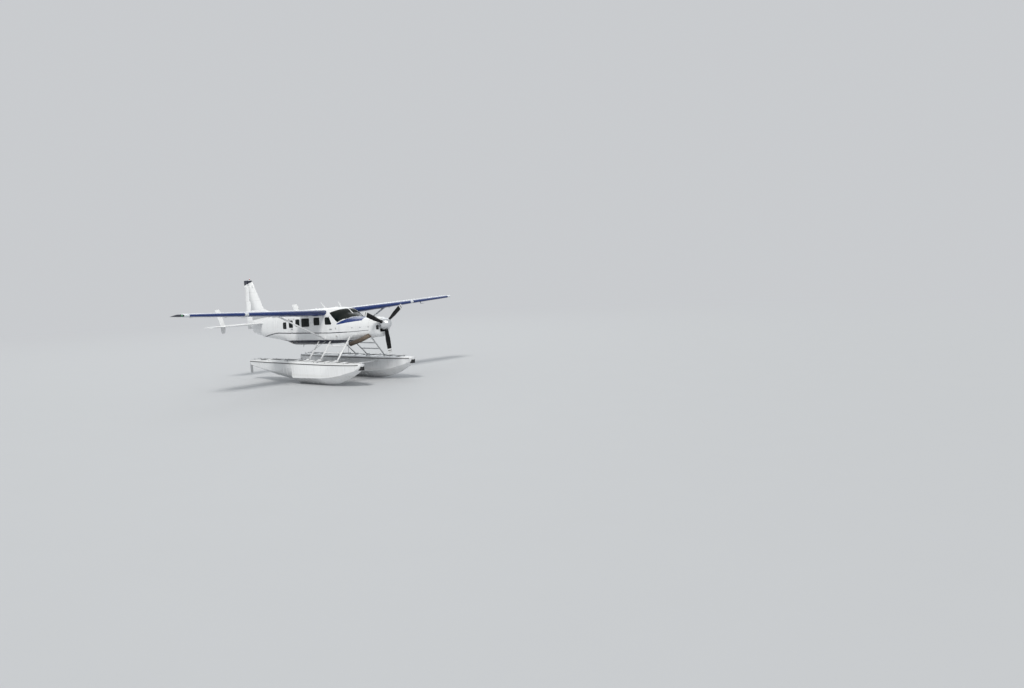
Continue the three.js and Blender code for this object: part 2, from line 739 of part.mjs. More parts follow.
// Builds the fuselage, its doors and its glass
function buildFuselage() {
  let shell = OUTER.intersect(slab(FIREWALL, CABIN_REAR));
  shell = shell.subtract(INNER.intersect(slab(FIREWALL + WALL, CABIN_REAR - WALL)));
  const glassSkin = OUTER.subtract(bodyLoft(9));
  const edgeGap = shrunk(WINDSHIELD, 1);
  const pane = glassSkin.intersect(sidePrism(edgeGap, -1000, 1000));
  addAirframe('windshield', pane, 'glass');
  shell = shell.subtract(sidePrism(WINDSHIELD, -1000, 1000));
  const stripClear = bodyLoft(WALL + GAP);
  const stripSkin = stripClear.subtract(bodyLoft(WALL + 7));
  for (const [side, names, strip] of [
    [1, ['second', 'third', 'last'], [4110, 5640]],
    [-1, ['second', 'third', 'fourth', 'last'], [4110, 6085]],
  ]) {
    for (const name of names) shell = shell.subtract(windowCut(name, side));
    const range = side > 0 ? [100, 1200] : [-1200, -100];
    const glass = stripSkin.intersect(sidePrism(rectangle(strip, 60, 510), ...range, 40));
    addAirframe(side > 0 ? 'side_glass_left' : 'side_glass_right', glass, 'glass');
    shell = shell.subtract(sideCut(CREW_DOOR, side, 70));
    const doorShape = sideCut(shrunk(CREW_DOOR, MOVING_GAP), side, 66);
    const skin = OUTER.subtract(INNER);
    const door = skin.intersect(doorShape).subtract(sideCut(CREW_WINDOW, side, 50));
    shell = hangDoor(shell, side > 0 ? 'crew_door_left' : 'crew_door_right', door,
      doorHinges('crew', side));
    const span = side > 0 ? CARGO_DOOR : PASSENGER_DOOR;
    const label = side > 0 ? 'cargo_door' : 'passenger_door';
    shell = shell.subtract(sideCut(rectangle(span, DOOR_BOTTOM, DOOR_TOP), side, 60));
    const inner = [span[0] + MOVING_GAP, span[1] - MOVING_GAP];
    const halfGap = MOVING_GAP / 2;
    const upper = rectangle(inner, DOOR_SPLIT + halfGap, DOOR_TOP - MOVING_GAP);
    const lower = rectangle(inner, DOOR_BOTTOM + MOVING_GAP, DOOR_SPLIT - halfGap);
    const whole = rectangle(inner, DOOR_BOTTOM + MOVING_GAP, DOOR_TOP - MOVING_GAP);
    const doorSkin = skin.intersect(sideCut(whole, side, 56));
    let top = doorSkin.intersect(sideCut(upper, side, 0)).subtract(windowCut('doorWindow', side));
    if (side > 0) top = top.subtract(windowCut('fourth', side));
    const bottom = doorSkin.intersect(sideCut(lower, side, 0));
    const kind = side > 0 ? 'cargo' : 'passenger';
    shell = hangDoor(shell, `${label}_upper`, top, doorHinges(`${kind}Upper`, side));
    shell = hangDoor(shell, `${label}_lower`, bottom, doorHinges(`${kind}Lower`, side));
  }
  addAirframe('cabin_shell', shell, 'white');
}

function buildCowl() {
  const hollow = bodyLoft(COWL_WALL).intersect(slab(COWL_FRONT + 40, FIREWALL + 10));
  let cowl = OUTER.intersect(slab(COWL_FRONT, FIREWALL - GAP)).subtract(hollow);
  const shaftHole = bar([-400, 0, 0], [-700, 0, 0], 250, 250, 20);
  cowl = cowl.subtract(shaftHole);
  for (const side of [1, -1]) {
    const inlet = sidePrism(rectangle([440, 640], -220, -50), side > 0 ? 285 : -400,
      side > 0 ? 400 : -285, 0);
    cowl = cowl.subtract(inlet);
  }
  const chin = sidePrism(rectangle([440, 640], -335, -215), -200, 200);
  cowl = cowl.subtract(chin);
  const split = -60;
  addAirframe('cowl_upper', cowl.intersect(slab(0, 3000, split + GAP, 2000)), 'white');
  addAirframe('cowl_lower', cowl.intersect(slab(0, 3000, -2000, split)), 'white');
}

// Engine and exhaust
function buildEngine() {
  const block = bar([-760, 0, 0], [-2230, 0, -10], 520, 520, 16);
  const nose = bar([-(SPINNER_LENGTH + 8), 0, 0], [-800, 0, 0], 200, 200, 16);
  const shaft = bar([-(SPINNER_LENGTH - 39), 0, 0], [-600, 0, 0], 2 * SHAFT, 2 * SHAFT, SHAFT_SIDES);
  let engine = block.add(nose).add(shaft);
  for (const y of [-1, 1]) {
    for (const z of [-1, 1]) {
      const tube = bar([-2200, y * 170, z * 170], [-(FIREWALL + 30), y * 240, z * 240], 45, 45, 8);
      engine = engine.add(tube);
    }
  }
  addAirframe('engine', engine.subtract(slab(FIREWALL - GAP, 3000)), 'metal');
  const route = [[-1000, -420, -470], [-1300, -560, -615], [-1750, -600, -735], [-2240, -575, -840]];
  let pipe = null;
  for (let k = 0; k < route.length - 1; k += 1) {
    const piece = bar(route[k], route[k + 1], 200, 200, 10);
    pipe = pipe ? pipe.add(piece) : piece;
  }
  for (const knee of [route[1], route[2]]) {
    const ball = new THREE.SphereGeometry(99, 8, 6);
    ball.translate(...knee);
    pipe = pipe.add(solid(ball));
  }
  const bore = bar(between(route[2], route[3], 0.7), between(route[2], route[3], 1.3), 164, 164, 12);
  pipe = pipe.subtract(bore).subtract(OUTER_GROWN);
  addAirframe('exhaust', biggest(pipe), 'exhaust');
}

function biggest(body) {
  const pieces = body.decompose();
  pieces.sort((a, b) => b.volume() - a.volume());
  return pieces[0];
}

// Cabin inside
function buildInside() {
  const floorTop = -600;
  const clear = INNER_CLEAR;
  const floor = box(-(CABIN_REAR - WALL - 30), -(FIREWALL + WALL + 20), -760, 760,
    floorTop - 36, floorTop);
  const outside = bodyLoft(WALL + 14);
  let doorways = sidePrism(rectangle(CARGO_DOOR, -700, -500), 300, 900)
    .add(sidePrism(rectangle(PASSENGER_DOOR, -700, -500), -900, -300));
  doorways = doorways.add(sidePrism(rectangle([2970, 3810], -700, -500), -900, 900));
  addAirframe('cabin_floor', floor.intersect(clear).subtract(doorways.subtract(outside)), 'trim');
  const panel = sidePrism([[2560, 60], [2560, -300], [2760, -300], [2840, 40], [2700, 150]],
    -700, 700).intersect(clear);
  addAirframe('instrument_panel', panel, 'trim');
  const seat = (station, y, width) => {
    const half = width / 2;
    const base = sidePrism([[station, -598], [station, -330], [station + 440, -330],
      [station + 400, -598]], y - half * 0.6, y + half * 0.6);
    const cushion = sidePrism([[station - 60, -335], [station - 60, -200], [station + 430, -225],
      [station + 430, -335]], y - half, y + half, 40);
    const back = sidePrism([[station + 370, -300], [station + 480, 240], [station + 575, 240],
      [station + 500, -300]], y - half, y + half, 30);
    const head = sidePrism([[station + 470, 180], [station + 490, 400], [station + 580, 400],
      [station + 570, 180]], y - half * 0.55, y + half * 0.55, 25);
    return base.add(cushion).add(back).add(head);
  };
  const rail = (from, to, y) => box(-to, -from, y - 30, y + 30, -600 + GAP, -570);
  const cross = (station) => box(-(station + 60), -station, -420, 420, -600 + GAP, -570);
  let crew = cross(3400);
  for (const y of [380, -380]) crew = crew.add(seat(3290, y, 470)).add(rail(3290, 3650, y));
  addAirframe('crew_seats', crew, 'seat');
  let rows = cross(4500).add(cross(5300)).add(cross(6080));
  for (const y of [390, -390]) {
    rows = rows.add(rail(4300, 6400, y));
    for (const station of [4300, 5150, 6000]) rows = rows.add(seat(station, y, 440));
  }
  addAirframe('cabin_seats', rows, 'seat');
}

// Wings and their moving surfaces
function buildWings() {
  let wing = wingLoft();
  wing = wing.subtract(surfaceCut(wingAt, FLAP.fraction, FLAP.from, FLAP.to));
  wing = wing.subtract(surfaceCut(wingAt, AILERON.fraction, AILERON.from, AILERON.to));
  wing = biggest(wing.subtract(OUTER_GROWN));
  const lowered = wing.translate([0, 0, -GAP]);
  const strut = biggest(wingStrutBar().subtract(OUTER_GROWN).subtract(wing).subtract(lowered));
  let flap = surfaceLoft(wingAt, FLAP.fraction, FLAP.from, FLAP.to);
  let aileron = surfaceLoft(wingAt, AILERON.fraction, AILERON.from, AILERON.to);
  [wing, flap] = hung(wing, flap, spanHinges(wingAt, FLAP));
  [wing, aileron] = hung(wing, aileron, spanHinges(wingAt, AILERON));
  for (const [suffix, turn] of [['left', (b) => b], ['right', mirrored]]) {
    addAirframe(`wing_${suffix}`, turn(wing), 'white');
    addAirframe(`flap_${suffix}`, turn(flap), 'white');
    addAirframe(`aileron_${suffix}`, turn(aileron), 'white');
    addAirframe(`wing_strut_${suffix}`, turn(strut), 'white');
  }
}

// Tail cone, stabiliser with its finlets, fin, rudder and elevators
function buildTail() {
  const grownStab = loft([-900, 0, 900].map((y) => {
    const s = stabAt(y);
    return wingRing({ ...s, station: s.station - 2, chord: s.chord + 4, thickness: 0.1008 });
  }));
  // The shell is hollow from the cabin's rear wall to the frame that carries the stabiliser
  const hollow = bodyLoft(TAIL_WALL).intersect(slab(CABIN_REAR, TAIL_HOLLOW_END));
  const cone = OUTER.intersect(slab(CABIN_REAR + GAP, TAIL_END)).subtract(hollow)
    .subtract(grownStab);
  addAirframe('tail_cone', biggest(cone), 'white');
  const plate = finPlate().subtract(OUTER_GROWN).subtract(rudderCut()).subtract(grownStab);
  const [fin, rudder] = hung(biggest(plate), rudderLoft(), rudderHinges());
  addAirframe('fin', fin, 'white');
  addAirframe('rudder', rudder, 'white');
  const elevatorHinges = spanHinges(stabAt, ELEVATOR);
  let stab = stabiliserLoft().subtract(slab(TAIL_END - 130, 12000));
  for (const side of [1, -1]) {
    let cut = surfaceCut(stabAt, ELEVATOR.fraction, ELEVATOR.from, ELEVATOR.to);
    if (side < 0) cut = mirrored(cut);
    stab = stab.subtract(cut);
    for (const { lug, bore } of elevatorHinges) {
      stab = side > 0 ? stab.add(lug).subtract(bore) : stab.add(mirrored(lug)).subtract(mirrored(bore));
    }
    const y = side * FINLET_Y;
    stab = stab.add(sidePrism(FINLET, y - 11, y + 11));
  }
  addAirframe('stabiliser', stab, 'white');
  const elevator = elevatorHinges.reduce((body, { slot, pin }) => body.subtract(slot).add(pin),
    elevatorLoft());
  addAirframe('elevator_left', elevator, 'white');
  addAirframe('elevator_right', mirrored(elevator), 'white');
}

// Floats, in stood axes: x runs back from the spinner's tip and z is the height over the floor
function floatRing([behind, keel, chine, rub, chineHalf, rubHalf, crown]) {
  const x = FLOAT_BOW_X - behind;
  const keelHalf = Math.min(KEEL_HALF, chineHalf * 0.3);
  const half = [[keelHalf, keel], [chineHalf, chine], [rubHalf, rub]];
  for (const t of [0.35, 0.7]) {
    half.push([rubHalf * Math.cos((t * Math.PI) / 2), lerp(rub, crown, Math.sin((t * Math.PI) / 2))]);
  }
  half.push([rubHalf * 0.12, crown]);
  const other = half.map(([y, z]) => [-y, z]).reverse();
  return [...half, ...other].map(([y, z]) => [x, y, z]);
}

const FLOAT_Y = FLOAT_SPACING / 2;
const TRANSOM_X = FLOAT_BOW_X - FLOAT_LENGTH;
const POST_X = TRANSOM_X - 70;
const POST = { low: 716, high: 894, lug: 16, clear: 6 };

// Two lugs on the transom that hold the water rudder's post between them
function rudderLugs() {
  const low = POST.low - POST.clear;
  const high = POST.high + POST.clear;
  const lug = (z0) => box(POST_X - 26, TRANSOM_X + 40, FLOAT_Y - 26, FLOAT_Y + 26, z0, z0 + POST.lug);
  const pins = [[low - 8, POST.low + 24], [POST.high - 24, high + 8]].map(([z0, z1]) => (
    bar([POST_X, FLOAT_Y, z0], [POST_X, FLOAT_Y, z1], 18, 18, PIN_SIDES)
  ));
  return lug(low - POST.lug).add(lug(high)).add(pins[0]).add(pins[1]);
}

function waterRudder() {
  const post = bar([POST_X, FLOAT_Y, POST.low], [POST_X, FLOAT_Y, POST.high], 40, 40, 12);
  const arm = box(POST_X - 60, POST_X, FLOAT_Y - 9, FLOAT_Y + 9, POST.low + 2, POST.high - 2);
  const plate = box(POST_X - 230, POST_X - 40, FLOAT_Y - 9, FLOAT_Y + 9, 330, POST.high - 20);
  const bore = (z0, z1) => bar([POST_X, FLOAT_Y, z0], [POST_X, FLOAT_Y, z1], 20.1, 20.1, PIN_SIDES);
  const bores = bore(POST.low - 5, POST.low + 29).add(bore(POST.high - 29, POST.high + 5));
  return post.add(arm).add(plate).subtract(bores);
}

function floatBody(grow = 0) {
  const swell = (rows) => rows.map(([s, keel, chine, rub, a, b, crown]) => (
    [s, keel, chine, rub, a + grow, b + grow, crown + grow]
  ));
  const fore = loft(swell(FLOAT_FORE).map(floatRing));
  const aft = loft(swell([[4500, ...FLOAT_AFT[0].slice(1)], ...FLOAT_AFT]).map(floatRing));
  return fore.add(aft).translate([0, FLOAT_Y, 0]).add(rudderLugs());
}

// Float struts: top and foot, as x, y and z in stood axes
const STRUTS = {
  front: { top: [-2200, 600, 2160], foot: [-2180, 1500, 1040] },
  middle: { top: [-3600, 600, 2010], foot: [-3420, 1500, 1040] },
  rear: { top: [-4460, 600, 1990], foot: [-4290, 1500, 1040] },
};
const RUNG_HEIGHTS = [1450, 1750];
const SPREADERS = { spreader_front: -2240, spreader_rear: -4340 };

function along(strut, z) {
  const t = (z - strut.foot[2]) / (strut.top[2] - strut.foot[2]);
  return strut.foot.map((value, i) => lerp(value, strut.top[i], t));
}

function buildFloats() {
  const hull = floatBody();
  const hullGrown = floatBody(GAP);
  const bodyStood = OUTER_GROWN.transform(
    new THREE.Matrix4().makeTranslation(-NOSE_X, 0, 0).multiply(STAND_UP).elements,
  );
  const trimmed = (body) => biggest(body.subtract(bodyStood).subtract(hullGrown));
  let frame = bar(STRUTS.front.foot, STRUTS.front.top, 115, 46);
  frame = trimmed(frame);
  let middle = trimmed(bar(STRUTS.middle.foot, STRUTS.middle.top, 105, 46));
  for (const z of RUNG_HEIGHTS) {
    middle = middle.add(bar(along(STRUTS.front, z), along(STRUTS.middle, z), 60, 40, 8));
  }
  frame = frame.add(middle);
  const rear = trimmed(bar(STRUTS.rear.foot, STRUTS.rear.top, 105, 46));
  const [bumperLow, bumperHigh] = [770, 945];
  const bumper = box(FLOAT_BOW_X - 190, FLOAT_BOW_X - 8, FLOAT_Y - 105, FLOAT_Y + 105, bumperLow,
    bumperHigh).subtract(hullGrown).subtract(hull.translate([GAP, 0, -GAP]));
  const blade = waterRudder();
  for (const [suffix, turn] of [['left', (b) => b], ['right', mirrored]]) {
    addPart(`float_${suffix}`, shifted(turn(hull)), 'white');
    addPart(`step_frame_${suffix}`, shifted(turn(frame)), 'white');
    addPart(`rear_strut_${suffix}`, shifted(turn(rear)), 'white');
    addPart(`bow_bumper_${suffix}`, shifted(turn(biggest(bumper))), 'rubber');
    addPart(`water_rudder_${suffix}`, shifted(turn(blade)), 'metal');
  }
  for (const [name, x] of Object.entries(SPREADERS)) {
    let beam = bar([x, -FLOAT_Y, 880], [x, FLOAT_Y, 880], 110, 60);
    beam = beam.subtract(hullGrown).subtract(mirrored(hullGrown));
    addPart(name, shifted(biggest(beam)), 'white');
  }
}

buildFuselage();
buildCowl();
buildEngine();
addAirframe('propeller', propeller(), 'blade');
buildInside();
buildWings();
buildTail();
buildFloats();

export default group;
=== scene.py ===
"""A turboprop floatplane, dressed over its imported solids: paint, glass, cabin, rigging and fittings."""
import json
from math import atan2, copysign, cos, exp, hypot, pi, radians, sin, sqrt, tan

import bmesh
import bpy
from bpy.props import FloatProperty, FloatVectorProperty, PointerProperty
from mathutils import Matrix, Vector


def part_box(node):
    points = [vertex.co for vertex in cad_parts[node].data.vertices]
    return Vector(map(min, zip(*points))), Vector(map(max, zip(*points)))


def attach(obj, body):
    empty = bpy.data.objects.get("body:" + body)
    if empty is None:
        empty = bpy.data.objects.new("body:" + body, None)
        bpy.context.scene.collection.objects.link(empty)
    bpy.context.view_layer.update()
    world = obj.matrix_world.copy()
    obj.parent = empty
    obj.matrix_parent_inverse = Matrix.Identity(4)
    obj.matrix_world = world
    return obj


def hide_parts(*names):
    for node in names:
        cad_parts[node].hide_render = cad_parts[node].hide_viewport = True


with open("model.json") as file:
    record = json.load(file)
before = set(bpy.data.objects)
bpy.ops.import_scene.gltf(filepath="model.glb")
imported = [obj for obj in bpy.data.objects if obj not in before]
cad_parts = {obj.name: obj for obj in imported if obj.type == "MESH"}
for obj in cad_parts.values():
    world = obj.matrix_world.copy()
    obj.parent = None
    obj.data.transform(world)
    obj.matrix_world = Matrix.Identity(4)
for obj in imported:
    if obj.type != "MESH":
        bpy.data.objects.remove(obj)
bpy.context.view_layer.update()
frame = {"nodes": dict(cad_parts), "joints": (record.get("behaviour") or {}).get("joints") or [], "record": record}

bl_info = {
    "name": "Floatplane dressing",
    "version": (1, 0, 0),
    "blender": (4, 5, 0),
    "location": "View3D > Sidebar > Floatplane",
    "description": "Paint, glass, cabin, rigging and fittings of a twin float aircraft",
    "category": "Object",
}


def vec(*parts):
    return Vector(parts)



# The airframe stands 2.4 degrees nose up over its level floats. Its own axes run from the spinner
# tip: station aft, side to port, height over the propeller shaft. All lengths are metres.
LEAN = radians(2.4)
PROP_STATION = 0.35
PROP_PHASE = 54.0   # degrees from upright to port at which the first blade stands
SHAFT_PIN = next(j for j in frame["joints"] if j["name"] == "propeller_spin")
NOSE = Vector(SHAFT_PIN["pos_m"]) + PROP_STATION * vec(cos(LEAN), 0, sin(LEAN))
STAND_UP = Matrix.Translation(NOSE) @ Matrix.Rotation(-LEAN, 4, "Y")
LIE_DOWN = STAND_UP.inverted()

# Fuselage sections: station, top, middle, bottom, half width, upper and lower corner power
SECTIONS = [
    (0.500, 0.235, -0.070, -0.440, 0.345, 2.3, 2.4),
    (0.560, 0.290, -0.075, -0.540, 0.430, 2.4, 2.6),
    (0.700, 0.330, -0.080, -0.580, 0.480, 2.5, 2.8),
    (1.200, 0.355, -0.085, -0.610, 0.560, 2.6, 2.9),
    (2.310, 0.417, -0.085, -0.690, 0.690, 3.0, 3.2),
    (2.946, 0.834, -0.080, -0.780, 0.765, 3.1, 3.4),
    (3.450, 0.915, -0.060, -0.810, 0.796, 3.8, 3.6),
    (3.700, 0.930, -0.050, -0.815, 0.800, 4.0, 3.6),
    (5.400, 0.930, -0.050, -0.815, 0.800, 4.0, 3.6),
    (6.650, 0.880, -0.050, -0.800, 0.785, 3.7, 3.5),
    (7.300, 0.845, -0.020, -0.660, 0.705, 3.1, 3.0),
    (8.500, 0.780, 0.060, -0.490, 0.500, 2.6, 2.5),
    (9.600, 0.690, 0.150, -0.360, 0.320, 2.4, 2.3),
    (10.600, 0.620, 0.260, -0.140, 0.165, 2.2, 2.2),
    (10.900, 0.590, 0.290, -0.060, 0.110, 2.2, 2.2),
]
WINDSHIELD = [(2.335, 0.398), (2.880, 0.190), (3.480, 0.690), (2.600, 0.930), (2.335, 0.720)]
GLASS_CROWN = 2.95   # station where the windshield ends on the middle line
CREW_WINDOW = [(3.255, 0.135), (3.440, 0.478), (3.735, 0.478), (3.735, 0.135)]
# Cabin windows: front station, rear station, bottom, top
WINDOWS = {
    "second": (4.160, 4.600, 0.135, 0.490),
    "third": (4.970, 5.570, 0.095, 0.490),
    "fourth": (5.750, 6.060, 0.130, 0.470),
    "door": (6.300, 6.620, 0.085, 0.440),
    "last": (6.870, 7.220, 0.045, 0.365),
}
WINDOW_CORNER = 0.055
SKIN_CELL = 0.13   # longest edge of a faired skin
WING = {"root": 0.650, "tip": 7.935, "edge": (3.663, 3.774), "height": (0.690, 1.050),
    "chord": (1.980, 1.220), "thickness": (0.174, 0.120), "incidence": (radians(2.4), 0.0)}
TAIL_LEVEL = 0.394   # height of the stabiliser's middle plane
LAMP_BAY = (7.660, 7.868)   # side places of the lamp in each wing tip's leading edge
LANDING_BAY = (4.870, 5.030)   # and of the landing lights
FLOAT_SIDE = 1.549
RUDDER_POST = 8.54   # distance of a water rudder's hinge behind the float's bow
BOW = NOSE.x - 0.275
# Float sections: distance behind the bow, heights of keel, chine and rub line, half widths of chine
# and rub line, and the height of the deck's crown. The hull has its step where a distance repeats.
FLOAT_ROWS = [
    (0.000, 0.955, 0.985, 1.012, 0.090, 0.130, 1.060),
    (0.060, 0.800, 0.885, 1.010, 0.120, 0.170, 1.064),
    (0.330, 0.610, 0.740, 1.005, 0.270, 0.310, 1.075),
    (0.900, 0.330, 0.590, 1.000, 0.410, 0.440, 1.088),
    (1.600, 0.110, 0.470, 0.995, 0.480, 0.510, 1.100),
    (2.400, 0.000, 0.390, 0.990, 0.515, 0.530, 1.105),
    (4.560, 0.000, 0.330, 0.980, 0.515, 0.530, 1.105),
    (4.560, 0.095, 0.400, 0.980, 0.500, 0.530, 1.105),
    (6.600, 0.360, 0.590, 0.968, 0.400, 0.450, 1.088),
    (8.470, 0.690, 0.770, 0.948, 0.170, 0.215, 1.038),
]
# Float struts, inboard top and outboard foot: distance behind the spinner tip, side, height over the floor
STRUTS = {"front": ((2.200, 0.600, 2.160), (2.180, 1.500, 1.040)),
          "middle": ((3.600, 0.600, 2.010), (3.420, 1.500, 1.040)),
          "rear": ((4.460, 0.600, 1.990), (4.290, 1.500, 1.040))}
# The three ways, in the airframe's own axes
AHEAD, PORT, UP = vec(1, 0, 0), vec(0, 1, 0), vec(0, 0, 1)
HANDS = (("left", 1), ("right", -1))
# Exhaust stack: the middle of the pipe, station aft being negative
EXHAUST = [(-1.000, -0.420, -0.470), (-1.300, -0.560, -0.615), (-1.750, -0.600, -0.735),
    (-2.240, -0.575, -0.840)]


# Settings

def tint(name, text, default):
    """A colour setting."""
    return FloatVectorProperty(name=name, description=text, subtype="COLOR", default=default)


def length(name, text, default, low, high):
    """A setting in metres."""
    return FloatProperty(name=name, description=text, default=default, min=low, max=high, unit="LENGTH")


def part(name, text, default, high, low=0.0):
    """A setting that is a part of one."""
    return FloatProperty(name=name, description=text, default=default, min=low, max=high, subtype="FACTOR")


class PaintSettings(bpy.types.PropertyGroup):
    """Colours of the paint scheme and where its lines lie"""

    white: tint("White", "Main coat", (0.84, 0.85, 0.86))
    navy: tint("Navy", "Belly, thin stripe and caps", (0.003, 0.006, 0.026))
    blue: tint("Blue", "Leading edges and anti-glare panel", (0.003, 0.028, 0.165))
    stripe_width: length("Stripe width", "Width of the thin side stripe", 0.050, 0.01, 0.2)
    edge_band: part("Edge band", "Part of the chord that the blue covers underneath", 0.125, 0.5)
    edge_top: part("Edge band on top", "Part of the chord that the blue covers on top", 0.115, 0.3)
    tip_cap: length("Tip cap", "Length of the navy cap on each wing tip", 0.067, 0.02, 1.0)
    gloss: part("Roughness", "Roughness of clean paint", 0.22, 1.0, 0.02)


class GlassSettings(bpy.types.PropertyGroup):
    """Windows and their frames"""

    # Near-black and nearly opaque: partly the acrylic's own tint, partly painted shade standing for the dim cabin
    # behind the panes.
    tint: tint("Tint", "Colour of the acrylic", (0.002, 0.006, 0.006))
    frame_width: length("Frame width", "Width of a window's rubber frame", 0.018, 0.005, 0.1)
    rim_width: length("Rim width", "Width of the white strip round the windshield", 0.036, 0.01, 0.1)
    post_width: length("Post width", "Width of the windshield's centre post", 0.055, 0.02, 0.2)
    pane_depth: length("Pane depth", "How far the panes lie inside the skin", 0.006, 0.0, 0.03)


class FittingSettings(bpy.types.PropertyGroup):
    """Small fittings outside"""

    antenna_chord: length("Antenna chord", "Width of a blade antenna at its foot", 0.11, 0.02, 0.3)
    wick_length: length("Wick length", "Length of a static wick", 0.11, 0.03, 0.3)
    stay_radius: length("Stay radius", "Radius of the rigging stays", 0.009, 0.002, 0.03)
    rail_height: length("Rub rail height", "Height of the rubber rail along a float's deck edge", 0.030,
        0.01, 0.2)


class CabinSettings(bpy.types.PropertyGroup):
    """Colours inside the cabin"""

    cloth: tint("Cloth", "Seat covers", (0.085, 0.10, 0.13))
    trim: tint("Trim", "Panels and glare shield", (0.055, 0.058, 0.063))
    liner: tint("Liner", "Cabin walls", (0.46, 0.45, 0.42))


class StageSettings(bpy.types.PropertyGroup):
    """Floor, light and camera"""

    floor: tint("Floor", "Colour of the floor", (0.55, 0.56, 0.575))
    backdrop: tint("Backdrop", "Pale colour that the floor fades to", (0.585, 0.600, 0.620))
    key: FloatProperty(name="Key light", description="Strength of the soft sun", default=2.0, min=0.0,
        max=20.0)
    fill: FloatProperty(name="Fill", description="Strength of the soft light all round", default=0.56,
        min=0.0, max=5.0)


def settings(name):
    return getattr(bpy.context.scene, "floatplane_" + name)


# Measures

def slopes_of(places, values):
    """Slopes that ease a row of values without overshoot."""
    steps = [(b - a) / (q - p) for p, q, a, b in zip(places, places[1:], values, values[1:])]
    slopes = [steps[0]]
    for before, after in zip(steps, steps[1:]):
        slopes.append(0.0 if before * after <= 0 else 2 * before * after / (before + after))
    return slopes + [steps[-1]]


STATIONS = [row[0] for row in SECTIONS]
COLUMNS = [[row[k] for row in SECTIONS] for k in range(1, 7)]
SLOPES = [slopes_of(STATIONS, column) for column in COLUMNS]


def section_at(station, straight=False):
    """Top, middle, bottom, half width and corner powers of the fuselage at a station."""
    station = min(max(station, STATIONS[0]), STATIONS[-1])
    k = max(i for i in range(len(STATIONS) - 1) if STATIONS[i] <= station)
    span = STATIONS[k + 1] - STATIONS[k]
    t = (station - STATIONS[k]) / span
    if straight:
        return [column[k] + (column[k + 1] - column[k]) * t for column in COLUMNS]
    s, u = t * t * (3 - 2 * t), 1 - t
    return [column[k] * (1 - s) + column[k + 1] * s + span * t * u * (slope[k] * u - slope[k + 1] * t)
            for column, slope in zip(COLUMNS, SLOPES)]


def side_of(station, height):
    """How far out the skin lies at a station and height."""
    top, middle, bottom, half, upper, lower = section_at(station)
    reach, power = (top - middle, upper) if height > middle else (middle - bottom, lower)
    return half * (1 - min(1.0, abs(height - middle) / reach) ** power) ** (1 / power)


def crown_of(station, side=0.0, under=False):
    """Height of the skin over (or under) a place on the fuselage."""
    top, middle, bottom, half, upper, lower = section_at(station)
    reach, power = (bottom - middle, lower) if under else (top - middle, upper)
    return middle + reach * (1 - min(1.0, abs(side) / half) ** power) ** (1 / power)


def skin_level(point, straight=False):
    """Below one inside the fuselage, one on its skin; and the scale that brings the point on to it."""
    top, middle, bottom, half, upper, lower = section_at(-point.x, straight)
    rise = point.z - middle
    reach, power = (top - middle, upper) if rise > 0 else (middle - bottom, lower)
    level = abs(point.y / half) ** power + abs(rise / reach) ** power
    return level, (level ** (-1 / power) if level > 1e-9 else 1.0), middle


def skin_normal(point):
    """The way out of the fuselage's skin at a point on it."""
    step = 0.004
    axes = (vec(step, 0, 0), vec(0, step, 0), vec(0, 0, step))
    return Vector([skin_level(point + a)[0] - skin_level(point - a)[0] for a in axes]).normalized()


def at_side(station, height, side, lift=0.0):
    """A point on the fuselage's side; side is 1 to port and -1 to starboard."""
    point = vec(-station, side * side_of(station, height), height)
    return point + skin_normal(point) * lift if lift else point


def wing_at(side):
    """Leading edge station and height, chord, thickness and incidence of the wing at a side place."""
    t = (abs(side) - WING["root"]) / (WING["tip"] - WING["root"])
    return [a + (b - a) * t for a, b in (WING[k] for k in ("edge", "height", "chord", "thickness",
        "incidence"))]


def on_wing(side, share, top=True, lift=0.0):
    """A point on the wing's skin at a part of its chord."""
    edge, height, chord, thickness, turn = wing_at(side)
    half = 5 * thickness * (0.2969 * sqrt(share) - 0.126 * share - 0.3516 * share ** 2 + 0.2843 * share ** 3
        - 0.1036 * share ** 4) + 0.0008
    x, h = share * chord, (0.08 * share * (1 - share) + (half if top else -half)) * chord + (
        lift if top else -lift)
    return vec(-(edge + x * cos(turn) + h * sin(turn)), side, height - x * sin(turn) + h * cos(turn))


def wing_normal(side, share, top):
    """The way out of the wing's skin."""
    low, high = max(share - 0.01, 0.0), min(share + 0.01, 1.0)
    along = on_wing(side, high, top) - on_wing(side, low, top)
    out = vec(along.z, 0, -along.x).normalized()
    return out if out.z * (1 if top else -1) > 0 else -out


def wing_spot(side, share, top=True):
    """A point on the wing's skin and the way out there."""
    return on_wing(side, share, top), wing_normal(side, share, top)


def float_row(behind):
    """Heights and half widths of the float at a distance behind its bow."""
    for a, b in zip(FLOAT_ROWS, FLOAT_ROWS[1:]):
        if a[0] <= behind <= b[0] and b[0] > a[0]:
            t = (behind - a[0]) / (b[0] - a[0])
            return [p + (q - p) * t for p, q in zip(a, b)][1:]
    return list(FLOAT_ROWS[-1][1:])


def deck_at(behind, side, offset, lift=0.0):
    """A point on a float's deck; the offset from its middle line is outboard."""
    _, _, rub, _, half, crown = float_row(behind)
    line = [(half * 0.12, crown)] + [(half * cos(t * pi / 2), rub + (crown - rub) * sin(t * pi / 2))
        for t in (0.7, 0.35, 0.0)]
    height = crown
    for (a, high), (b, low) in zip(line, line[1:]):
        if a <= abs(offset) <= b:
            height = high + (low - high) * (abs(offset) - a) / (b - a)
    return vec(BOW - behind, side * (FLOAT_SIDE + offset), height + lift)


# Shapes

def spread(first, last, parts):
    """Evenly spaced values from the first to the last."""
    return [first + (last - first) * k / parts for k in range(parts + 1)]


def circle(radius, count):
    return [(radius * cos(a), radius * sin(a)) for a in (2 * pi * k / count for k in range(count))]


